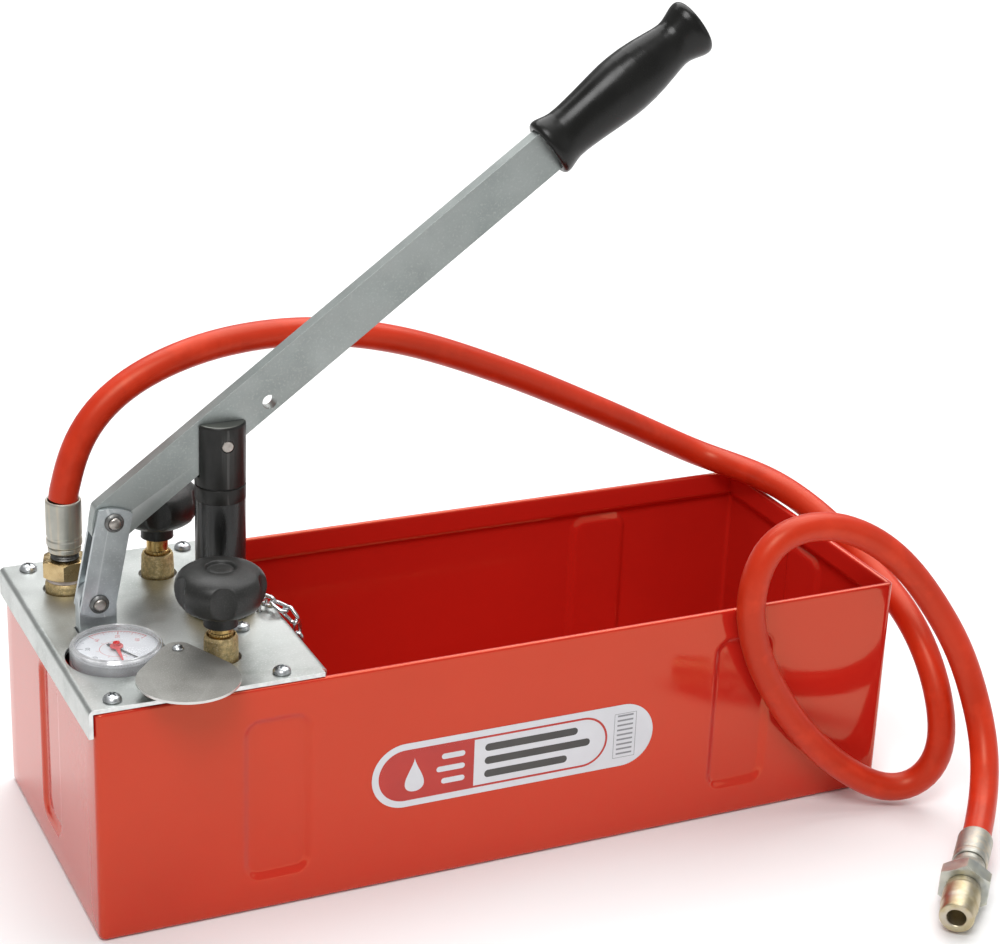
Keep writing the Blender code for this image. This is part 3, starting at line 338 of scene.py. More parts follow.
    Look("washer_nylon", (0.62, 0.54, 0.50), 0.45).mottle((0.5, 0.42, 0.38), 200)
    Look("case_plastic", (0.02, 0.02, 0.02), 0.5).roughen(0.4, 0.6, 90).bump(900, mm(0.02))
    ring = Look("bezel_clear", (0.62, 0.63, 0.64), 0.1, coat_weight=0.8, coat_roughness=0.04, alpha=0.34)
    ring.roughen(0.06, 0.16, 120).mottle((0.45, 0.45, 0.46), 130, 3)
    # The lip look is brighter and less clear than the ring: a painted highlight on the bezel's top lip.
    lip = Look("bezel_lit_lip", (0.68, 0.69, 0.70), 0.1, 0.3, coat_weight=0.8, coat_roughness=0.04, alpha=0.66)
    lip.roughen(0.06, 0.16, 120).mottle((0.50, 0.50, 0.51), 130, 3)
    # The plunger's top look is far lighter than its black steel: painted light on the upward face.
    Look("plunger_lit_top", (0.15, 0.155, 0.14), 0.3, 0.8).roughen(0.24, 0.42, 90)
    Look("dial_white", (0.66, 0.68, 0.71), 0.5).mottle((0.62, 0.63, 0.66), 90)
    glass = Look("lens_clear", (0.95, 0.97, 1.0), 0.06, alpha=0.06, coat_weight=0.3, coat_roughness=0.05)
    glass.roughen(0.05, 0.1, 60)
    Look("needle_black", (0.015, 0.015, 0.015), 0.4).roughen(0.3, 0.5, 200)
    Look("print_black", (0.03, 0.035, 0.05), 0.5).mottle((0.05, 0.06, 0.09), 300)
    Look("print_red", (0.50, 0.07, 0.07), 0.5).mottle((0.58, 0.1, 0.09), 300)
    pointer = Look("pointer_red", (0.55, 0.012, 0.012), 0.25)
    pointer.roughen(0.18, 0.35, 200).mottle((0.62, 0.03, 0.03), 150)
    film = Look("label_film", (0.70, 0.71, 0.74), 0.4, coat_weight=0.2, coat_roughness=0.2)
    film.mottle((0.66, 0.67, 0.70), 40).roughen(0.34, 0.46, 60)
    Look("label_red", (0.50, 0.022, 0.010), 0.35, coat_weight=0.2).mottle((0.45, 0.018, 0.009), 50)
    Look("label_grey", (0.045, 0.044, 0.041), 0.4, coat_weight=0.2).mottle((0.06, 0.058, 0.054), 60)
    Look("label_line", (0.22, 0.225, 0.24), 0.45).mottle((0.27, 0.275, 0.29), 80)
    Look("floor", (0.86, 0.86, 0.86), 0.6).mottle((0.85, 0.85, 0.85), 3)


# Building blocks
def piece(name, bm, look, node=None, at=None, angle=32, body="pump_body", even=False):
    """The bmesh, moved to a place, as a named object that rides on a body and stands for a CAD node."""
    if at:
        moved(bm, at)
    bmesh.ops.recalc_face_normals(bm, faces=bm.faces)
    mesh = as_mesh(name, bm)
    mesh.shade_smooth()
    mesh.set_sharp_from_angle(angle=math.radians(angle))
    for each in look if isinstance(look, list) else [look]:
        mesh.materials.append(LOOKS[each])
    made = put(name, mesh)
    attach(made, body)
    if node:
        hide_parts(node)
    if even:  # flat faces between bevels stay flat in the light
        made.modifiers.new("Normals", "WEIGHTED_NORMAL").keep_sharp = True
    return made


def soften(points, radius, closed=False, steps=3):
    """Rounds the corners of a line of 2-D points."""
    rounded = []
    count = len(points)
    for index, point in enumerate(points):
        here = Vector(point)
        if not closed and index in (0, count - 1):
            rounded.append(tuple(here))
            continue
        before, after = Vector(points[index - 1]) - here, Vector(points[(index + 1) % count]) - here
        reach = min(radius, before.length * 0.45, after.length * 0.45)
        start, end = here + before.normalized() * reach, here + after.normalized() * reach
        if reach < 1e-6 or abs(before.normalized().dot(after.normalized())) > 0.999:
            rounded.append(tuple(here))
            continue
        for step in range(steps + 1):
            share = step / steps
            rounded.append(tuple(start.lerp(here, share).lerp(here.lerp(end, share), share)))
    return rounded


def lathe(profile, sides=64, radius_at=None, round_off=mm(0.35), steps=3, closed=None):
    """Turns (radius, height) points about Z, its corners rounded off."""
    ring_shape = profile[0][0] > 0 if closed is None else closed
    profile = soften(profile, round_off, ring_shape, steps) if round_off else profile
    bm = bmesh.new()
    rings = []
    for radius, height in profile:
        if radius < 1e-7:
            rings.append([bm.verts.new((0, 0, height))] * sides)
            continue
        ring = []
        for side in range(sides):
            angle = math.tau * side / sides
            here = radius_at(radius, angle, height) if radius_at else radius
            ring.append(bm.verts.new((*polar(here, angle), height)))
        rings.append(ring)
    pairs = list(zip(rings, rings[1:]))
    if ring_shape:
        pairs.append((rings[-1], rings[0]))
    for low, high in pairs:
        for side in range(sides):
            after = (side + 1) % sides
            corners = list(dict.fromkeys([low[side], low[after], high[after], high[side]]))
            if len(corners) > 2:
                bm.faces.new(corners)
    return bm


def circle(radius, centre=(0, 0), sides=48):
    return [polar(radius, math.tau * side / sides, centre) for side in range(sides)]


def rounded(x0, y0, x1, y1, radius, steps=8):
    corners = (
        (x1 - radius, y0 + radius), (x1 - radius, y1 - radius), (x0 + radius, y1 - radius),
        (x0 + radius, y0 + radius),
    )
    points = []
    for quarter, (x, y) in enumerate(corners):
        for step in range(steps + 1):
            angle = math.pi / 2 * (quarter - 1 + step / steps)
            points.append(polar(radius, angle, (x, y)))
    return points


def flat(outline, holes=(), z=0.0):
    """A flat sheet with holes, facing up."""
    bm = bmesh.new()
    edges = []
    for loop in (outline, *holes):
        row = [bm.verts.new((x, y, z)) for x, y in loop]
        edges += [bm.edges.new((row[index - 1], row[index])) for index in range(len(row))]
    bmesh.ops.triangle_fill(bm, edges=edges, use_beauty=True)
    bmesh.ops.recalc_face_normals(bm, faces=bm.faces)
    if sum(face.normal.z * face.calc_area() for face in bm.faces) < 0:
        bmesh.ops.reverse_faces(bm, faces=bm.faces)
    return bm


def prism(outline, low, high, holes=(), bevel=mm(0.3), segments=2):
    """An outline with holes, from one height to another, with its outer and inner rims rounded off."""
    bm = bmesh.new()
    caps = ([], [])
    for loop in (outline, *holes):
        rows = [[bm.verts.new((x, y, z)) for x, y in loop] for z in (low, high)]
        for index in range(len(loop)):
            bm.faces.new((rows[0][index - 1], rows[0][index], rows[1][index], rows[1][index - 1]))
            for row, edges in zip(rows, caps):
                edges.append(bm.edges.get((row[index - 1], row[index])))
    for edges in caps:
        bmesh.ops.triangle_fill(bm, edges=edges, use_beauty=True)
    bmesh.ops.recalc_face_normals(bm, faces=bm.faces)
    if bevel:
        sharp = [e for e in bm.edges if len(e.link_faces) == 2 and e.calc_face_angle(0) > math.radians(60)]
        bmesh.ops.bevel(
            bm, geom=sharp, offset=bevel, offset_type="OFFSET", segments=segments, profile=0.5,
            affect="EDGES", clamp_overlap=True,
        )
    return bm


def join(target, other, matrix=None):
    """Adds a bmesh's geometry to another one."""
    holder = as_mesh("holder", moved(other, matrix) if matrix else other)
    target.from_mesh(holder)
    bpy.data.meshes.remove(holder)
    return target


def carve(base, cutters, operation="DIFFERENCE"):
    """The bmesh left when others are cut from it, or joined to it."""
    body = stand_in(base)
    tools = [stand_in(cutter) for cutter in cutters]
    for tool in tools:
        modifier = body.modifiers.new("Cut", "BOOLEAN")
        modifier.operation = operation
        modifier.solver = "EXACT"
        modifier.object = tool
    result = shaped(body)
    for each in (body, *tools):
        data = each.data
        bpy.data.objects.remove(each)
        bpy.data.meshes.remove(data)
    return result


def stand_in(bm):
    bmesh.ops.recalc_face_normals(bm, faces=bm.faces)
    return put("stand_in", as_mesh("stand_in", bm))


def thicken(obj, thickness):
    """Gives a sheet its thickness, on its inner side."""
    modifier = obj.modifiers.new("Sheet", "SOLIDIFY")
    modifier.thickness = thickness
    modifier.offset = -1
    modifier.use_even_offset = True
    return modifier


def second_look(bm, chosen):
    """Gives the faces that pass a test the piece's second look."""
    for face in bm.faces:
        face.material_index = int(chosen(face))


def skin(bm, rings):
    """Faces between each ring of vertices and the next."""
    for low, high in zip(rings, rings[1:]):
        for index in range(len(low)):
            bm.faces.new((low[index - 1], low[index], high[index], high[index - 1]))


def round_edges(obj, width, segments):
    modifier = obj.modifiers.new("Bevel", "BEVEL")
    modifier.width = width
    modifier.segments = segments
    modifier.limit_method = "ANGLE"
    modifier.angle_limit = math.radians(40)
    modifier.harden_normals = True


# The hose
HOSE_DIAMETER = mm(16.5)
FAR_TIP = Vector(mm(189.5, -254.0, 11.2))
FAR_AZIMUTH = math.radians(47.6)
FAR_RISE = math.radians(6.2)
FAR_LENGTH = mm(71)
FAR = move(*FAR_TIP) @ Matrix.Rotation(FAR_AZIMUTH, 4, "Z") @ Matrix.Rotation(math.pi / 2 - FAR_RISE, 4, "Y")
ROUTE = in_mm(
    (-214.5, 55, 190.6), (-212.9, 55, 200), (-208.9, 55, 214.9), (-202.6, 55.5, 228.6), (-189.9, 56.7, 243.4),
    (-173, 58.7, 254.4), (-152.6, 61.2, 262.2), (-128.2, 64.2, 267.7), (-97.2, 68, 269.8), (-58.3, 73, 266.8),
    (-4.6, 79, 253.7), (64.4, 86, 225), (138.7, 94, 187.5), (186, 99, 162), (216, 97.5, 146.5),
    (233.5, 73, 143.4), (241.8, 36, 143.4), (254.5, 6, 132.5), (261, -40, 117), (263, -88, 98.5),
    (263.5, -118, 68), (261.5, -129, 34), (250, -122.5, 11.5), (232, -117, 10.2), (212, -112, 21.5),
    (192, -107, 38), (171.5, -104.4, 61.5), (150.9, -104, 94), (138.5, -104, 125), (136.8, -104, 150),
    (149, -102.5, 177), (180.5, -103, 183), (212, -106.5, 171.5), (234, -112, 153.5), (251.4, -118, 130.3),
    (267.5, -126, 102), (275.5, -136, 74), (275, -152, 48), (264.5, -170, 29.5),
)


def smooth_route(points, step):
    """Points an even step apart on one smooth curve through the given points."""
    knots = [Vector(point) for point in points]
    knots = [2 * knots[0] - knots[1], *knots, 2 * knots[-1] - knots[-2]]
    fine = []
    for index in range(1, len(knots) - 2):
        before, start, end, after = knots[index - 1 : index + 3]
        s0, s1, s2 = [math.sqrt((b - a).length) for a, b in ((before, start), (start, end), (end, after))]
        leave = (start - before) / s0 - (end - before) / (s0 + s1) + (end - start) / s1
        arrive = (end - start) / s1 - (after - start) / (s1 + s2) + (after - end) / s2
        leave, arrive = leave * s1, arrive * s1
        for part in range(16):
            t = part / 16
            fine.append(
                start * (2 * t**3 - 3 * t**2 + 1) + leave * (t**3 - 2 * t**2 + t)
                + end * (3 * t**2 - 2 * t**3) + arrive * (t**3 - t**2)
            )
    fine.append(knots[-2])
    lengths = [0.0]
    for a, b in zip(fine, fine[1:]):
        lengths.append(lengths[-1] + (b - a).length)
    count = round(lengths[-1] / step)
    even = []
    reached = 0
    for index in range(count + 1):
        wanted = lengths[-1] * index / count
        while reached < len(fine) - 2 and lengths[reached + 1] < wanted:
            reached += 1
        share = (wanted - lengths[reached]) / (lengths[reached + 1] - lengths[reached])
        even.append(fine[reached].lerp(fine[reached + 1], share))
    return even


def relax(points, passes=6):
    """Evens out a route's curvature, with its ends left where they are."""
    for _ in range(passes):
        middles = [
            points[i - 1] * 0.25 + points[i] * 0.5 + points[i + 1] * 0.25 for i in range(2, len(points) - 2)
        ]
        points = [*points[:2], *middles, *points[-2:]]
    return points


def hose():
    direction = (FAR.to_3x3() @ Vector((0, 0, 1))).normalized()
    end = FAR_TIP + direction * (FAR_LENGTH + mm(0.6))
    route = [*ROUTE, tuple(end + direction * mm(12)), tuple(end)]
    points = relax(smooth_route(route, mm(5)), 10)
    curve = bpy.data.curves.new("hose", "CURVE")
    curve.dimensions = "3D"
    curve.bevel_depth = HOSE_DIAMETER / 2
    curve.bevel_resolution = 10
    curve.use_fill_caps = True
    spline = curve.splines.new("POLY")
    spline.points.add(len(points) - 1)
    for slot, point in zip(spline.points, points):
        slot.co = (*point, 1)
    spline.use_smooth = True
    curve.materials.append(LOOKS["hose_rubber"])
    made = put("outlet_hose", curve)
    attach(made, "pump_body")
    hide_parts("hose")
    return made, sum((b - a).length for a, b in zip(points, points[1:]))


def far_fitting():
    nipple = in_mm(
        (0, 16), (5.2, 16), (5.2, 0.6), (5.7, 0), (9, 0), (9.6, 0.7), (9.7, 1.6), (9.8, 9), (10.2, 10),
        (10.4, 11), (10.4, 21), (9.9, 22.6), (9.9, 26.2), (0, 26.2),
    )
    nipple_piece = piece(
        "hose_nipple", lathe(nipple, 64, round_off=mm(0.25)), "yellow_zinc", "far_nipple", FAR,
    )
    nut = hex_nut(mm(27), mm(26.5), mm(36.5), mm(30))
    hex_piece = piece("hose_hex", nut, "pale_zinc", "far_hex", FAR, even=True)
    collar = in_mm(
        (0, 36.8), (12.1, 36.8), (12.1, 38), (11, 41), (9.4, 44.5), (8.9, 46), (8.9, 49.7), (0, 49.7),
    )
    collar_piece = piece("hose_collar", lathe(collar, 64), "ferrule_zinc", "far_collar", FAR)
    sleeve = sleeve_profile(mm(50), FAR_LENGTH)
    sleeve_piece = piece("hose_far_ferrule", lathe(sleeve, 64), "ferrule_zinc", "far_ferrule", FAR)
    return [nipple_piece, hex_piece, collar_piece, sleeve_piece]


def sleeve_profile(low, high, reach=mm(3.2)):
    """A crimped sleeve from one height to another, open at the hose's end."""
    bore, outer, step = mm(8.42, 10, 1)
    lip = high + reach
    return [
        (bore, low), (outer - mm(0.5), low), (outer, low + step), (outer, low + 4 * step),
        (outer - mm(0.35), low + 4.6 * step), (outer - mm(0.35), low + 6 * step), (outer, low + 6.6 * step),
        (outer, lip - step), (outer - mm(0.4), lip), (bore + mm(0.15), lip), (bore, lip - step),
    ]


def hex_nut(across, low, high, turned=0.0, bore=0.0):
    """A hexagon with the round chamfers that a turned hex has at both ends."""
    radius = across / math.sqrt(3)
    outline = [polar(radius, math.radians(60 * i) + turned) for i in range(6)]
    holes = [circle(bore, sides=48)] if bore else []
    nut = prism(outline, low, high, holes, bevel=mm(0.25))
    inner = across / 2 - mm(0.2)
    reach = radius * 1.05
    slope = (reach - inner) * 0.55
    envelope = lathe(
        [(0, low), (inner, low), (reach, low + slope), (reach, high - slope), (inner, high), (0, high)], 96,
        round_off=0,
    )
    return carve(nut, [envelope], "INTERSECT")


# The tank
def smoothstep(value):
    value = min(1.0, max(0.0, value))
    return value * value * (3 - 2 * value)


PADS = {"long": mm(-141.5, 141.5), "end": (0.0,)}  # the panels' middles along each kind of wall
PAD_HALF = mm(20)
PAD_LOW, PAD_HIGH = mm(18), mm(117)
PAD_DEPTH = mm(2.4)
PAD_CORNER = mm(11)
PAD_SLOPE = mm(5)


def pad_depth(along, z, pads):
    """How far the wall is pressed in at a place along it and at a height."""
    deepest = 0.0
    for centre in pads:
        half_height = (PAD_HIGH - PAD_LOW) / 2
        dx = abs(along - centre) - (PAD_HALF - PAD_CORNER)
        dz = abs(z - (PAD_HIGH + PAD_LOW) / 2) - (half_height - PAD_CORNER)
        outside = math.hypot(max(dx, 0), max(dz, 0)) + min(max(dx, dz), 0) - PAD_CORNER
        deepest = max(deepest, PAD_DEPTH * smoothstep(-outside / PAD_SLOPE))
    return deepest


def pad_edges(wall):
    """The spans along a wall where its panels slope, which need a fine mesh."""
    past, within = mm(2, 8)
    spans = []
    for centre in PADS[wall]:
        low, high = centre - PAD_HALF, centre + PAD_HALF
        spans += [(low - past, low + within), (high - within, high + past)]
    return spans


def spread(breaks, fine, coarse, dense):
    """Values between the first and last break, fine inside the dense spans and coarse elsewhere."""
    values = [breaks[0]]
    while values[-1] < breaks[1] - 1e-9:
        here = values[-1]
        step = fine if any(low - fine <= here < high for low, high in dense) else coarse
        ahead = [low for low, high in dense if low > here + 1e-9]
        if step == coarse and ahead:
            step = min(step, max(min(ahead) - here, fine))
        values.append(min(here + step, breaks[1]))
    return values


def tank():
    """The pressed and folded tank: panels in its walls, and a rim turned in and down."""
    length, width, height = TANK_HIGH.x, TANK_HIGH.y, TANK_HIGH.z
    corner, bottom, rim = mm(4, 3, 1.2)
    sheet, fold, drop = mm(1.2, 3.8, 15)
    fine, coarse = mm(1.1), mm(14)
    along_x = spread((-length + corner, length - corner), fine, coarse, pad_edges("long"))
    along_y = spread((-width + corner, width - corner), fine, coarse, pad_edges("end"))
    dense = [(PAD_LOW - mm(2), PAD_LOW + mm(12)), (PAD_HIGH - mm(12), PAD_HIGH + mm(2))]
    up = spread((bottom, height - rim), fine, mm(12), dense)

    path = []  # (point on the full outline, inward direction, wall, place along it)
    for side in (1, -1):
        for x in along_x[::side]:
            path.append((Vector((x, -side * width, 0)), Vector((0, side, 0)), "long", x))
        path += corner_path(side * (length - corner), -side * (width - corner), corner, -90 * side)
        for y in along_y[::side]:
            path.append((Vector((side * length, y, 0)), Vector((-side, 0, 0)), "end", y))
        path += corner_path(side * (length - corner), side * (width - corner), corner, 90 - 90 * side)

    levels = [(inset, z, False) for inset, z in arc_levels(bottom, bottom)]  # (inset, height, pressed)
    levels += [(0, z, True) for z in up]
    turn_in = fold / 2
    for step in range(1, 9):
        angle = math.pi * step / 8
        levels.append((turn_in * (1 - math.cos(angle)), height - rim + rim * math.sin(angle), False))
    levels += [(fold, z, False) for z in (height - mm(4), height - mm(8), height - mm(12), height - drop)]

    bm = bmesh.new()
    rings = []
    for inset, z, pressed in levels:
        ring = []
        for point, inward, wall, place in path:
            depth = pad_depth(place, z, PADS[wall]) if pressed and wall in PADS else 0.0
            ring.append(bm.verts.new(point + inward * (inset + depth) + Vector((0, 0, z))))
        rings.append(ring)
    skin(bm, rings)
    bm.faces.new(list(reversed(rings[0])))
    thicken(piece("tank", bm, "red_paint", "tank_body", angle=50), sheet)

    tabs = bmesh.new()
    for x in mm(-228, -136.5):
        for side in (-1, 1):
            near, far = sorted((side * mm(79), side * (width - mm(4.4))))
            outline = rounded(x - mm(9), near, x + mm(9), far, mm(2), 4)
            hole = circle(mm(2.9), (x, side * mm(86)), 24)
            join(tabs, prism(outline, height - mm(4.3), height - mm(2.7), [hole]))
    piece("screw_tabs", tabs, "red_paint")


def corner_path(x, y, radius, start):
    points = []
    for step in range(1, 6):
        angle = math.radians(start + 90 * step / 6)
        outward = Vector((*polar(1, angle), 0))
        points.append((Vector((x, y, 0)) + outward * radius, -outward, "corner", 0.0))
    return points


def arc_levels(radius, height):
    """Insets and heights round the tank's bottom edge."""
    levels = []
    for step in range(6):
        angle = math.pi / 2 * step / 6
        levels.append((radius * (1 - math.sin(angle)), height * (1 - math.cos(angle))))
    return levels


def label():
    """A plain sticker: a pale film with a red drop and grey lines, and no lettering."""
    low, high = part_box("front_label")
    upright = move(0, -TANK_HIGH.y - mm(0.12), 0) @ turn(90, "X")
    x0, x1, z0, z1 = low.x, high.x, low.z, high.z
    middle_z = (z0 + z1) / 2

    def pill(left, right, inset):
        return rounded(left, z0 + inset, right, z1 - inset, (z1 - z0) / 2 - inset - mm(0.02), 16)

    def strip(start, end, z, half, steps, height):
        """A bar with round ends."""
        outline = rounded(x0 + mm(start), z - mm(half), x0 + mm(end), z + mm(half), mm(half - 0.01), steps)
        return flat(outline, z=mm(height))

    film = prism(pill(x0, x1, 0), 0, mm(0.16), bevel=0)
    piece("label_sheet", film, "label_film", "front_label", upright)

    inset, line, ruled = mm(3.9), mm(1.3), mm(143)
    outline = pill(x0 + inset, x0 + ruled, inset)
    inner = pill(x0 + inset + line, x0 + ruled - line, inset + line)
    field_end = x0 + mm(60.5)
    reds = flat(outline, [inner], mm(0.2))
    left = [point for point in inner if point[0] < x0 + mm(30)]
    top = max(point[1] for point in inner)
    bottom = min(point[1] for point in inner)
    field = [*left, (field_end, bottom), (field_end, top)]
    join(reds, flat(field, z=mm(0.21)))
    piece("label_red_print", reds, "label_red", at=upright)

    drop = []
    centre_x, centre_z, size = x0 + mm(25), middle_z - mm(3.4), mm(9)
    for step in range(40):
        angle = math.tau * step / 40
        pinch = math.sin(angle / 2) ** 2.2
        x = centre_x + size * math.sin(angle) * pinch
        drop.append((x, centre_z + size * (0.35 + 1.15 * math.cos(angle))))
    marks = flat(drop, z=mm(0.24))
    for row, (start, end) in enumerate(((41, 55), (38, 55), (41, 55))):
        join(marks, strip(start, end, middle_z + mm(7.6 * (row - 1)), 1.7, 5, 0.24))
    piece("label_drop", marks, "label_film", at=upright)

    bars = bmesh.new()
    for row, end in enumerate((118, 132, 124)):
        join(bars, strip(67, end, middle_z + mm(8.2 * (row - 1)), 2.3, 6, 0.2))
    piece("label_bars", bars, "label_grey", at=upright)

    rules = bmesh.new()
    for row in range(9):
        z = z0 + mm(7.5 + 3 * row)
        left, right, top = x0 + mm(149), x0 + mm(159), z + mm(1.1)
        join(rules, flat([(left, z), (right, z), (right, top), (left, top)], z=mm(0.2)))
    frame_line = rounded(x0 + mm(147), z0 + mm(5.4), x0 + mm(161), z1 - mm(5.4), mm(0.3), 2)
    inside = rounded(x0 + mm(147.3), z0 + mm(5.7), x0 + mm(160.7), z1 - mm(5.7), mm(0.2), 2)
    join(rules, flat(frame_line, [inside], mm(0.2)))
    piece("label_rules", rules, "label_line", at=upright)


# The top plate
def plate():
    """Sheet with rounded bends, a flange over the end wall, one inside the tank, and its holes."""
    left, right = (corner.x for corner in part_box("top_plate"))
    bend, thick, notch = mm(3, 2.5, 88.5)
    back = TANK_HIGH.y - mm(0.9)
    x0, x1 = left + bend, right - bend
    outline = [(x0, -back), (x1, -back), (x1, -notch), (x1, notch), (x1, back), (x0, back)]
    holes = [
        circle(mm(27.2), GAUGE.xy, 96), circle(mm(17.2), PLUNGER.xy, 64), circle(mm(12.6), OUTLET.xy, 64),
        *(circle(mm(10.8), valve.xy, 64) for valve in VALVES.values()),
        rounded(*mm(-223.6, -4.6, -200.8, 4.6), mm(1)),
        *(circle(mm(3), middle(f"plate_screw_{n}").xy, 24) for n in range(1, 7)),
        *(circle(mm(1.6), foot.xy, 16) for foot in eye_feet()), circle(mm(2.4), COVER.xy, 24),
    ]
    bm = flat(outline, holes, PLATE_TOP)
    rim = {}
    for vertex in bm.verts:
        rim[(round(vertex.co.x, 6), round(vertex.co.y, 6))] = vertex
    flanges = (((x0, back), (x0, -back), -1, mm(120.5)), ((x1, -notch), (x1, notch), 1, TANK_HIGH.z - mm(12)))
    for first, second, side, low in flanges:
        row = [rim[(round(p[0], 6), round(p[1], 6))] for p in (first, second)]
        centre = row[0].co.x
        heights = []
        for step in range(1, 9):
            angle = math.pi / 2 * step / 8
            heights.append((centre + side * bend * math.sin(angle), PLATE_TOP - bend * (1 - math.cos(angle))))
        heights.append((centre + side * bend, low))
        for x, z in heights:
            after = [bm.verts.new((x, vertex.co.y, z)) for vertex in row]
            bm.faces.new((row[0], row[1], after[1], after[0]))
            row = after
    made = piece("deck_plate", bm, ["plate_zinc", "plate_lit_edge"], "top_plate", angle=40)
    # The rim faces, including the holes' walls, take the lighter rim look: a painted highlight on the sheet's
    # edges.
    thicken(made, thick).material_offset_rim = 1
    round_edges(made, mm(0.45), 3)


CHAIN_TURN = math.radians(-50)
EYE_REACH = mm(4.0)


def eye_feet():
    across = Vector((-math.sin(CHAIN_TURN), math.cos(CHAIN_TURN), 0))
    return [CHAIN_EYE + across * side * EYE_REACH for side in (-1, 1)]


def screws():
    """Pan heads with a crossed recess, each turned its own way."""
    for number in range(1, 7):
        low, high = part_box(f"plate_screw_{number}")
        place = (low + high) / 2
        head = lathe(
            in_mm(
                (0, 3.6), (1.5, 3.55), (3, 3.1), (4.2, 2.3), (4.9, 1.2), (5, 0.4), (4.9, 0), (2.5, 0),
                (2.5, -8), (0, -8),
            ),
            48, round_off=mm(0.3),
        )
        bar = in_mm((-2.7, -0.62), (2.7, -0.62), (2.7, 0.62), (-2.7, 0.62))
        arms = [prism(bar, *mm(1.9, 4.4), bevel=0) for _ in range(2)]
        moved(arms[1], turn(90, "Z"))
        core = lathe(in_mm((0, 1.6), (0.7, 1.7), (1.5, 4.4), (0, 4.4)), 16, round_off=0)
        bm = carve(head, [*arms, core])
        where = move(place.x, place.y, PLATE_TOP + mm(0.15)) @ turn(SEED.uniform(0, 90), "Z")
        piece(
            f"deck_screw_{number}", bm, "screw_chrome", f"plate_screw_{number}", where,
            angle=28,
        )


# Plunger, gland, links and lever
def plunger():
    foot, top = (corner.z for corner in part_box("plunger"))
    r = mm(14)
    split = mm(204)
    groove = CROSS_PIN.z - mm(25)
    upper = [
        (0, top), (r - mm(1.3), top), (r - mm(0.5), top - mm(0.3)), (r, top - mm(1.2)), (r, groove + mm(0.5)),
        (r - mm(0.7), groove + mm(0.3)), (r - mm(0.7), groove - mm(0.3)), (r, groove - mm(0.5)), (r, split),
        (0, split),
    ]
    half = mm(4.6)
    slot = prism(
        [(-mm(20), -half), (mm(20), -half), (mm(20), half), (-mm(20), half)], CROSS_PIN.z - mm(19.5),
        top + mm(5), bevel=0,
    )
    bore = lathe(in_mm((0, -20), (3.5, -20), (3.5, 20), (0, 20)), 48, round_off=0)
    moved(bore, move(0, 0, CROSS_PIN.z) @ turn(90, "X"))
    head = carve(lathe(upper, 96, round_off=mm(0.25)), [slot, bore])
    at = move(PLUNGER.x, 0, 0)
    # The upward face at the very top takes the lighter top look: painted light where the light falls on it.
    second_look(head, lambda face: face.normal.z > 0.9 and face.calc_center_median().z > top - mm(1))
    piece(
        "plunger_head", head, ["black_steel", "plunger_lit_top"], "plunger", at, angle=30,
        body="plunger_assembly",
    )
    lower = [
        (0, split - mm(0.05)), (r - mm(0.12), split - mm(0.05)), (r - mm(0.12), foot + mm(1)),
        (r - mm(1), foot), (0, foot),
    ]
    piece(
        "plunger_rod", lathe(lower, 96, round_off=mm(0.2)), "rod_polished", at=at,
        body="plunger_assembly",
    )
    reach = mm(13.75)
    pin = [
        (0, -reach), (mm(2.9), -reach), (mm(3.25), -reach + mm(0.3)), (mm(3.25), reach - mm(0.3)),
        (mm(2.9), reach), (0, reach),
    ]
    piece(
        "cross_pin", lathe(pin, 48), "pin_steel", "plunger_pin",
        move(*CROSS_PIN) @ turn(90, "X"), body="plunger_assembly",
    )


def gland():
    inner, seat = mm(14.3), PLATE_TOP + mm(0.3)
    profile = [
        (inner, mm(133.5)), mm(16.7, 133.5), (mm(16.7), seat), (mm(18.2), seat), (mm(19), seat + mm(0.8)),
        *in_mm((19, 141), (18.6, 141.3), (18.6, 142), (19, 142.3), (19, 147), (18, 148.4)),
        (inner + mm(1.2), mm(148.4)), (inner, mm(147.2)),
    ]
    piece(
        "gland_collar", lathe(profile, 96, round_off=mm(0.3)), "bronze", "gland_nut",
        move(*PLUNGER),
    )


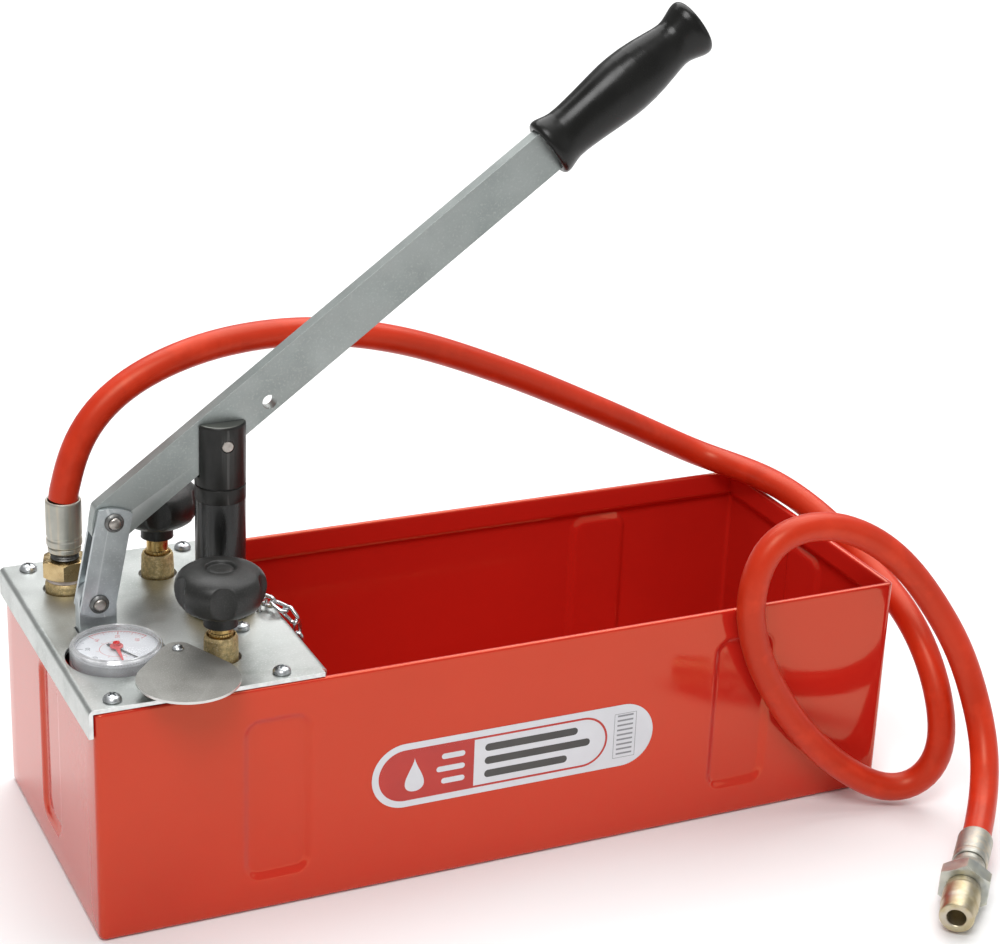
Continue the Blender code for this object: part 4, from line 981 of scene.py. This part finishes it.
def link_plates():
    lean = math.degrees(math.atan2(LINK_TOP.x - FULCRUM.x, LINK_TOP.z - FULCRUM.z))
    at = move(*FULCRUM) @ turn(lean, "Y")
    span = (LINK_TOP - FULCRUM).length
    half, past, bulge = mm(9.5), mm(6), mm(2)
    end = [(half * (1 - 0.125 * s), span + past + bulge * (1 - (1 - 0.125 * s) ** 2)) for s in range(17)]
    outline = soften([*end, *[(-x, span - y) for x, y in end]], mm(1.2), True)
    inner, thick = mm(4.5), mm(2.5)
    for name, side in (("front", -1), ("rear", 1)):
        low = inner if side < 0 else -inner - thick
        bm = prism(
            outline, low, low + thick, [circle(mm(3.7), (0, y), 40) for y in (0, span)], bevel=mm(0.4),
            segments=3,
        )
        piece(
            f"swing_link_{name}", bm, "zinc", f"link_plate_{name}", at @ turn(90, "X"), angle=40,
            body="link", even=True,
        )
    seat = inner + thick + mm(0.3)
    reach = seat + mm(2.2)
    for name, z in (("fulcrum", 0), ("link", span)):
        r = mm(3.5)
        pin = [
            (0, -reach - mm(0.9)), (mm(1.5), -reach - mm(0.8)), (mm(2.7), -reach - mm(0.4)),
            (r, -reach + mm(0.4)), (r, reach - mm(0.4)), (mm(2.7), reach + mm(0.4)),
            (mm(1.5), reach + mm(0.8)), (0, reach + mm(0.9)),
        ]
        at_pin = at @ move(0, 0, z) @ turn(90, "X")
        piece(
            f"{name}_pivot", lathe(pin, 48, round_off=mm(0.5)), "pin_steel", f"{name}_pin",
            at_pin, body="link",
        )
        for end_name, side in (("front", -1), ("rear", 1)):
            ring = in_mm((3.62, 0), (5.45, 0), (5.3, 0.6), (4.6, 1.2), (3.9, 1.7), (3.62, 1.6))
            at_ring = at @ move(0, side * seat, z) @ turn(-90 * side, "X")
            bm = lathe(ring, 40, clip_teeth, mm(0.15))
            piece(
                f"{name}_clip_{end_name}_ring", bm, "spring_steel", f"{name}_clip_{end_name}",
                at_ring, body="link",
            )


def clip_teeth(radius, angle, height):
    """Shallow flutes round a push-on clip's rim."""
    return radius - mm(0.12) * (0.5 + 0.5 * math.cos(angle * 8)) * (radius > mm(5))


def bracket():
    low = PLATE_TOP - mm(2.4) - FULCRUM.z
    r = mm(10.5)
    arc = [polar(r, math.pi * i / 24) for i in range(25)]
    bm = prism(
        [(r, low), *arc, (-r, low)], -mm(4), mm(4), [circle(mm(3.8), sides=40)], bevel=mm(0.5), segments=3,
    )
    piece(
        "fulcrum_lug", bm, "zinc", "fulcrum_bracket", move(*FULCRUM) @ turn(90, "X"), angle=40,
        even=True,
    )


def lever():
    tip = in_mm(
        (-3.5, -12.5), (385, -12.5), (385, 12.5), (-2.5, 12.5), (-9, 6.5), (-13.8, 0.5), (-13.5, -5.5),
        (-9.5, -10.5),
    )
    offset = LEVER.inverted() @ CROSS_PIN
    slot, radius = [], mm(4.7)
    for side, start in ((1, -90), (-1, 90)):
        for step in range(17):
            centre = (offset.x - mm(0.4) + side * mm(2.1), offset.z + mm(0.6))
            slot.append(polar(radius, math.radians(start + 180 * step / 16), centre))
    holes = [circle(mm(3.8), sides=40), slot, circle(mm(4), mm(105, -6.4), 48)]
    bm = prism(soften(tip, mm(1.5), True), -mm(4), mm(4), holes, bevel=mm(0.45), segments=3)
    piece(
        "lever_flat", bm, "lever_zinc", "lever_bar", LEVER @ turn(90, "X"), angle=40, body="lever",
        even=True,
    )
    profile = in_mm(
        (0, 2), (12.5, 2), (13.4, 0.3), (15.2, 0), (16.8, 0.8), (17.5, 2.4), (17.4, 4.5), (16.7, 7),
        (15.8, 10), (15.2, 13), (15.1, 18), (15.5, 25), (16.3, 34), (17.4, 44), (18, 52), (18.1, 58),
        (17.7, 66), (16.7, 74), (15.3, 82), (14.2, 88), (13.8, 92), (14.1, 95), (15.4, 99), (16.9, 103),
        (17.4, 106), (16.9, 108), (15.3, 109.4), (12.6, 110.1), (8, 110.4), (0, 110.4),
    )
    bm = lathe(profile, 96, grip_oval, mm(0.9), 3, closed=False)
    at = LEVER @ move(mm(310), 0, 0) @ turn(90, "Y")
    made = piece("hand_grip", bm, "grip_plastic", "lever_grip", at, angle=60, body="lever")
    smooth = made.modifiers.new("Smooth", "SUBSURF")
    smooth.levels = smooth.render_levels = 1


def grip_oval(radius, angle, height):
    flatness = 0.80
    return radius * flatness / math.hypot(flatness * math.cos(angle), math.sin(angle))


# Valves
KNOB_FOOT = mm(151.4)  # the underside of a knob in the shapes below


def scooped(radius, angle, height):
    """Five upright round scoops cut into the knob's rim, with soft edges."""
    pitch = math.tau / 5
    spread_angle = (angle + pitch / 2) % pitch - pitch / 2
    centre, scoop = mm(29.0), mm(8.6)
    reach = scoop**2 - (centre * math.sin(spread_angle)) ** 2
    if reach <= 0:
        return radius
    limit = centre * math.cos(spread_angle) - math.sqrt(reach)
    soft = mm(0.5)
    low = min(radius, limit)
    near = abs(radius - limit)
    return low - (soft - near) ** 2 / (4 * soft) if near < soft else low


def valve(name):
    at = VALVES[name]
    base = move(at.x, at.y, 0)
    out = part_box(f"{name}_knob")[0].z - KNOB_FOOT
    bonnet = [
        mm(7.1, 118), mm(8, 118), (mm(8), PLATE_TOP - mm(2.5)), (mm(9.35), PLATE_TOP - mm(2.5)),
        *in_mm((9.35, 141), (9.05, 148.4), (8.5, 149.9), (7.9, 150.4), (7.35, 150.2), (7.1, 149.6)),
    ]
    piece(
        f"{name}_bonnet_body", lathe(bonnet, 72, round_off=mm(0.3)), "bronze", f"{name}_bonnet",
        base,
    )
    spindle = [
        *in_mm((0, 110), (2, 112), (6.6, 119), (6.6, 149.8), (6.75, 150.1), (6.75, 152.1), (6.1, 152.5)),
        (mm(6.1), mm(151) + out), (mm(3), mm(151) + out), (mm(3), mm(165) + out), (0, mm(165) + out),
    ]
    bm = lathe(spindle, 72, spindle_flutes, mm(0.2))
    piece(f"{name}_spindle_rod", bm, "brass", f"{name}_spindle", base, body=f"{name}_stem")
    dome = in_mm(
        (3.4, 151.4), (8.8, 151.4), (9.2, 151.9), (9.2, 156.6), (9.8, 157.6), (13.5, 159.2), (18, 161.2),
        (21.6, 164), (23.4, 167.4), (24.2, 171), (24.3, 174.2), (23.7, 177.2), (22.2, 179.8), (19.8, 181.7),
        (16.5, 183.1), (12.5, 184.1), (9.4, 184.4), (8.2, 184.2), (7.6, 183.3), (7.2, 182.7), (6.4, 182.7),
        (5.6, 183.1), (3.6, 183.3), (0, 183.2),
    )
    bm = lathe(refine(dome), 150, scooped, 0, closed=False)
    where = base @ move(0, 0, out) @ turn(-104, "Z")
    piece(
        f"{name}_handwheel_knob", bm, "knob_plastic", f"{name}_knob", where, angle=34,
        body=f"{name}_handwheel",
    )


def refine(points):
    """Three times the points along a line, by a smooth curve through them."""
    pieces = 3
    knots = [Vector(point) for point in points]
    knots = [2 * knots[0] - knots[1], *knots, 2 * knots[-1] - knots[-2]]
    fine = []
    for i in range(1, len(knots) - 2):
        a, b, c, d = knots[i - 1 : i + 3]
        for part in range(pieces):
            t = part / pieces
            square, cube = 2 * a - 5 * b + 4 * c - d, 3 * b - a - 3 * c + d
            fine.append(0.5 * (2 * b + (c - a) * t + square * t * t + cube * t**3))
    fine.append(knots[-2])
    return [(max(p.x, 0.0), p.y) for p in fine]


def spindle_flutes(radius, angle, height):
    on_knurl = mm(149.9) < height < mm(152.2)
    return radius - mm(0.3) * (0.5 + 0.5 * math.cos(angle * 24)) * on_knurl


# Outlet
def outlet():
    at = move(*OUTLET)
    boss = [
        mm(5, 118), mm(9, 118), (mm(9), PLATE_TOP - mm(2.5)), (mm(11.3), PLATE_TOP - mm(2.5)),
        *in_mm((11.3, 140.8), (10.6, 142.3), (10.2, 142.7), (5, 142.7)),
    ]
    piece("outlet_port", lathe(boss, 72, round_off=mm(0.3)), "bronze", "outlet_boss", at)
    washer = in_mm((5, 142.85), (10.7, 142.85), (10.9, 143.9), (10.7, 144.9), (5, 144.9))
    piece("outlet_seal_ring", lathe(washer, 72), "washer_nylon", "outlet_washer", at)
    nut = hex_nut(mm(23.5), mm(145.2), mm(155.9), math.radians(12), mm(7.6))
    piece("outlet_union_nut", nut, "nut_brass", "union_nut", at, even=True)
    thread = in_mm(
        (4, 145.2), (7, 145.2), (7, 155.6), (8, 156.3), (7.2, 157), (8, 157.7), (7.2, 158.4), (8, 159.1),
        (7.2, 159.8), (4, 159.8),
    )
    piece("outlet_stub_thread", lathe(thread, 64, round_off=mm(0.1)), "spring_steel", at=at)
    stub = in_mm((4, 159.9), (8.6, 159.9), (9.3, 160.5), (9.3, 162.6), (8.7, 163.3), (4, 163.3))
    piece("outlet_hose_stub", lathe(stub, 64, round_off=mm(0.2)), "ferrule_zinc", "hose_stub", at)
    sleeve = sleeve_profile(mm(163.5), mm(190), mm(0.9))
    return piece("outlet_ferrule", lathe(sleeve, 72), "ferrule_zinc", "near_ferrule", at)


# Gauge
RED_FROM = 40  # the scale is printed red from here on
PRINT_GROWTH = 1.08


def gauge():
    at = move(*GAUGE)
    bezel = in_mm(
        (21.5, 133.3), (24.6, 133.3), (25, 133.8), (25, 141.4), (24.6, 142.6), (23.8, 143.4), (23.3, 143.2),
        (22.9, 143.7), (22.3, 144.2), (21.9, 144.1), (21.5, 143.4), (21.5, 142.3), (23.2, 141.6), (23.4, 139),
        (23.4, 135.9), (23.4, 134.2),
    )
    rim = lathe(bezel, 128, round_off=mm(0.25))
    # Faces above 142.5 mm take the brighter, less clear lip look: a painted highlight on the top lip.
    second_look(rim, lambda face: face.calc_center_median().z > mm(142.5))
    piece("gauge_rim", rim, ["bezel_clear", "bezel_lit_lip"], "gauge_bezel", at)
    case = in_mm((0, 120), (22.5, 120), (24, 121.5), (24, 133), (22.6, 133), (22.6, 122.5), (0, 122.5))
    piece("gauge_cup", lathe(case, 96), "case_plastic", "gauge_case", at)
    dial = in_mm((1.2, 139.4), (22.5, 139.4), (22.5, 133.6), (23.2, 133.6), (23.2, 140), (1.2, 140))
    piece("gauge_face", lathe(dial, 96, round_off=0), "dial_white", "gauge_dial", at)
    lens = in_mm((2.4, 142.7), (16, 142.6), (21.1, 142.4), (21.1, 142.9), (16, 143.5), (9, 143.9), (2.4, 144))
    piece("gauge_window", lathe(lens, 96, round_off=mm(0.1)), "lens_clear", "gauge_lens", at)

    zero, per_unit = -63, 4.5  # where the scale starts and how far a unit turns, in degrees
    black, red = bmesh.new(), bmesh.new()
    top = mm(140.03)
    for tick in range(61):
        angle = math.radians(zero - per_unit * tick)
        major, mid = tick % 10 == 0, tick % 5 == 0
        inner, width = mm(16.4, 0.42) if major else mm(17.4, 0.26) if mid else mm(18.2, 0.16)
        tick_bar(black if tick < RED_FROM else red, angle, inner, mm(19.6), width, top)
    join(red, arc_band(mm(19.75), mm(20.3), math.radians(zero - 270), math.radians(zero - 180), top))
    join(black, arc_band(mm(19.75), mm(19.95), math.radians(zero - 180), math.radians(zero), top))
    for value in range(0, 70, 10):
        angle = math.radians(zero - per_unit * value)
        place = (*polar(mm(13.9), angle), top)
        join(
            black if value < RED_FROM else red, figure(str(value), mm(3.3)),
            move(*place) @ turn(zero - 135 - 90, "Z"),
        )
    small = bmesh.new()
    for tick in range(5):
        angle = math.radians(zero - 54 * tick - 13)
        tick_bar(small, angle, mm(8.4), mm(10.2), mm(0.22), top)
    join(small, arc_band(mm(8.2), mm(8.45), math.radians(zero - 230), math.radians(zero - 10), top))
    join(red, small)
    larger = at @ Matrix.Diagonal((PRINT_GROWTH, PRINT_GROWTH, 1, 1))
    piece("dial_print_black", black, "print_black", at=larger)
    piece("dial_print_red", red, "print_red", at=larger)

    needle = prism(
        in_mm(
            (-7, -0.9), (-5, -1.3), (-2, -0.8), (2, -0.75), (18, -0.2), (18, 0.2), (2, 0.75), (-2, 0.8),
            (-5, 1.3), (-7, 0.9),
        ),
        mm(140.45), mm(140.8), bevel=mm(0.08), segments=1,
    )
    hub = lathe(in_mm((0, 140.4), (2.2, 140.4), (2.2, 141), (0, 141.1)), 40, round_off=mm(0.15))
    join(needle, hub)
    piece(
        "gauge_hand", needle, "needle_black", "gauge_needle", at @ turn(zero, "Z"),
        body="needle",
    )
    hand = in_mm((-2.6, -1), (3, -1.3), (8, -0.9), (17.4, -0.45), (17.4, 0.45), (8, 0.9), (3, 1.3), (-2.6, 1))
    arm = prism(hand, mm(141.35), mm(141.9), bevel=mm(0.15), segments=2)
    knob = in_mm(
        (0, 141.3), (3.5, 141.3), (3.6, 141.6), (3.5, 142.1), (2.2, 142.2), (1.9, 142.4), (1.9, 144),
        (1.4, 144.15), (0, 144.05),
    )
    join(arm, lathe(knob, 48, round_off=mm(0.12)))
    piece(
        "maximum_hand", arm, "pointer_red", "drag_pointer", at @ turn(-95, "Z"),
        body="maximum_pointer",
    )


def tick_bar(bm, angle, inner, outer, width, z):
    """A flat radial tick."""
    along = Vector((*polar(1, angle), 0))
    across = Vector((-along.y, along.x, 0))
    corners = []
    for r, side in ((inner, -1), (outer, -1), (outer, 1), (inner, 1)):
        corners.append(bm.verts.new(along * r + across * side * width / 2 + Vector((0, 0, z))))
    bm.faces.new(corners)


def arc_band(inner, outer, start, end, z):
    """A flat band round part of a circle."""
    bm, steps = bmesh.new(), 60
    rows = []
    for step in range(steps + 1):
        angle = start + (end - start) * step / steps
        rows.append([bm.verts.new((*polar(r, angle), z)) for r in (inner, outer)])
    for a, b in zip(rows, rows[1:]):
        bm.faces.new((a[0], a[1], b[1], b[0]))
    return bm


def figure(text, size):
    """A number of that height, flat and centred, as a mesh."""
    data = bpy.data.curves.new("figure", "FONT")
    data.body = text
    data.size = size
    data.align_x = "CENTER"
    data.align_y = "CENTER"
    data.resolution_u = 4
    holder = put("figure", data)
    bm = shaped(holder)
    bpy.data.objects.remove(holder)
    bpy.data.curves.remove(data)
    return bm


def cover():
    low = mm(144.8)
    reach, radius, ear = mm(34.8), mm(27), mm(8)
    tangent = math.acos((radius - ear) / reach)
    outline = []
    for centre, size, start, sweep, steps in (
        (reach, radius, -math.pi + tangent, 2 * (math.pi - tangent), 90),
        (0, ear, math.pi - tangent, 2 * tangent, 20),
    ):
        for step in range(steps + 1):
            outline.append(polar(size, start + sweep * step / steps, (centre, 0)))
    bm = prism(outline, low, low + mm(1.4), [circle(mm(2), sides=32)], bevel=mm(0.3), segments=3)
    at = move(COVER.x, COVER.y, 0)
    # The lid's side faces take the lighter rim look: a painted highlight along its edge.
    second_look(bm, lambda face: abs(face.normal.z) < 0.8)
    piece(
        "gauge_lid", bm, ["satin_steel", "lid_lit_edge"], "gauge_cover", at @ turn(-98.5, "Z"),
        angle=40, body="cover", even=True,
    )
    top = low + mm(1.5)
    rivet = [
        (0, low), (mm(1.9), low), (mm(1.9), top), (mm(3.3), top), (mm(3.2), top + mm(0.5)),
        (mm(2.7), top + mm(1.2)), (mm(1.7), top + mm(1.8)), (0, top + mm(2.05)),
    ]
    piece("lid_rivet", lathe(rivet, 48, round_off=mm(0.4)), "screw_chrome", "cover_rivet", at)
    post = [
        (0, mm(131)), mm(2.1, 131), (mm(2.1), PLATE_TOP + mm(0.1)), (mm(4), PLATE_TOP + mm(0.1)),
        (mm(4), low - mm(0.3)), (0, low - mm(0.3)),
    ]
    piece("lid_spacer", lathe(post, 48), "zinc", "cover_post", at)


# Chain
def wire(bm, points, radius, closed=True):
    """Sweeps a round wire along points in the local XZ plane."""
    rings, sides = [], 14
    count = len(points)
    sideways = Vector((0, 1, 0))
    for index, point in enumerate(points):
        before = points[index - 1] if closed or index else point
        after = points[(index + 1) % count] if closed or index < count - 1 else point
        across = (Vector(after) - Vector(before)).normalized().cross(sideways)
        ring = []
        for side in range(sides):
            angle = math.tau * side / sides
            ring.append(
                bm.verts.new(Vector(point) + (across * math.cos(angle) + sideways * math.sin(angle)) * radius)
            )
        rings.append(ring)
    skin(bm, [*rings, rings[0]] if closed else rings)
    if not closed:
        bm.faces.new(rings[0])
        bm.faces.new(rings[-1])
    return bm


def chain_link(crossed, twist):
    """One oval link, a little twisted along its length as bent-wire chain is."""
    straight, side_reach = mm(2.2), mm(3.0)
    points = []
    for end in (1, -1):
        for step in range(13):
            angle = math.pi * step / 12
            x, z = polar(side_reach, angle)
            points.append((end * x, 0, end * (straight + z)))
    bm = wire(bmesh.new(), points, mm(1.1))
    for vertex in bm.verts:
        angle = vertex.co.z / mm(5.2) * twist + (math.pi / 2 if crossed else 0)
        vertex.co = Matrix.Rotation(angle, 3, "Z") @ vertex.co
    return bm


def chain():
    bend, foot = mm(1.6), PLATE_TOP - mm(2.3) - CHAIN_EYE.z
    staple = [(-EYE_REACH, 0, foot), (-EYE_REACH, 0, -bend)]
    staple += [
        (-EYE_REACH + bend * (1 - math.cos(a)), 0, -bend + bend * math.sin(a))
        for a in [math.pi / 2 * i / 6 for i in range(1, 7)]
    ]
    staple += [(-x, y, z) for x, y, z in reversed(staple)]
    eye = wire(bmesh.new(), staple, mm(1.1), closed=False)
    piece(
        "chain_staple", eye, "chain_steel", "chain_eye",
        move(*CHAIN_EYE) @ Matrix.Rotation(CHAIN_TURN + math.pi / 2, 4, "Z"),
    )
    near = Vector((0, 0, 0))
    hooked = -mm(2.8)
    reach = mm(5.2)
    links = bmesh.new()
    for number, degrees in enumerate((-85, -72, -48, 0, 0, 0, 0)):
        lean = math.radians(degrees)
        along = Vector((-math.sin(lean), 0, -math.cos(lean)))
        centre = near + along * (reach + hooked)
        twist = 0.0 if number == 0 else 0.22
        join(links, chain_link(number % 2 == 1, twist), move(*centre) @ Matrix.Rotation(lean, 4, "Y"))
        near = centre + along * reach
        hooked = -mm(1.98)
    at = move(*CHAIN_EYE) @ Matrix.Rotation(CHAIN_TURN, 4, "Z")
    piece("chain_links", links, "chain_steel", "lever_chain", at, angle=60, body="chain")
    radius = mm(3.6)
    points = []
    for height, start, end in ((0, 160, -90), (-2 * radius, 90, 340)):
        for step in range(17):
            angle = math.radians(start + (end - start) * step / 16)
            if not points or step:
                x, z = polar(radius, angle, (0, height))
                points.append((x, 0, z))
    hook = wire(bmesh.new(), points, mm(1.1), closed=False)
    drop = Vector((0, 0, radius - mm(2.8)))
    piece(
        "chain_s_hook", hook, "chain_steel", "chain_hook",
        at @ move(*(near - drop)) @ turn(90, "Z"), angle=60, body="chain",
    )


# What stays as CAD made it, with finished materials
def hidden_parts():
    looks = {
        "pump_manifold": "cast", "pump_barrel": "steel", "gland_seal": "seal_rubber",
        "suction_valve_body": "brass", "suction_ball": "steel", "suction_strainer": "steel",
        "gauge_stem": "brass",
    }
    for node, look in looks.items():
        made = frame["nodes"][node]
        made.data.materials.clear()
        made.data.materials.append(LOOKS[look])
        if node != "suction_ball":
            round_edges(made, mm(0.3), 2)


# Floor and light
def stage():
    bm = bmesh.new()
    bmesh.ops.create_grid(bm, x_segments=8, y_segments=8, size=6)
    floor = put("floor", as_mesh("floor", bm))
    floor.data.materials.append(LOOKS["floor"])
    world = bpy.data.worlds.new("studio")
    world.use_nodes = True
    background = world.node_tree.nodes["Background"]
    background.inputs["Color"].default_value = (1, 1, 1, 1)
    background.inputs["Strength"].default_value = 0.38
    bpy.context.scene.world = world
    for name, place, aim, size, power in (
        ("key", (-0.7, -1.1, 1.9), (0, 0, 0.1), 0.9, 25),
        ("overhead", (0.9, 1.5, 2.6), (0.7, 1.3, 0), 3.6, 122),
        ("fill", (1.6, -1.1, 0.9), (0.05, 0, 0.1), 1.2, 2),
    ):
        data = bpy.data.lights.new(name, "AREA")
        data.size = size
        data.energy = power
        lamp = put(name, data)
        lamp.location = place
        lamp.rotation_euler = (Vector(aim) - Vector(place)).to_track_quat("-Z", "Y").to_euler()
    bpy.context.scene.view_settings.view_transform = "Standard"


make_looks()
camera()
hose_piece, hose_length = hose()
far_pieces = far_fitting()
tank()
label()
plate()
screws()
plunger()
gland()
link_plates()
bracket()
lever()
valve("shutoff")
valve("relief")
outlet()
gauge()
cover()
chain()
hidden_parts()
stage()
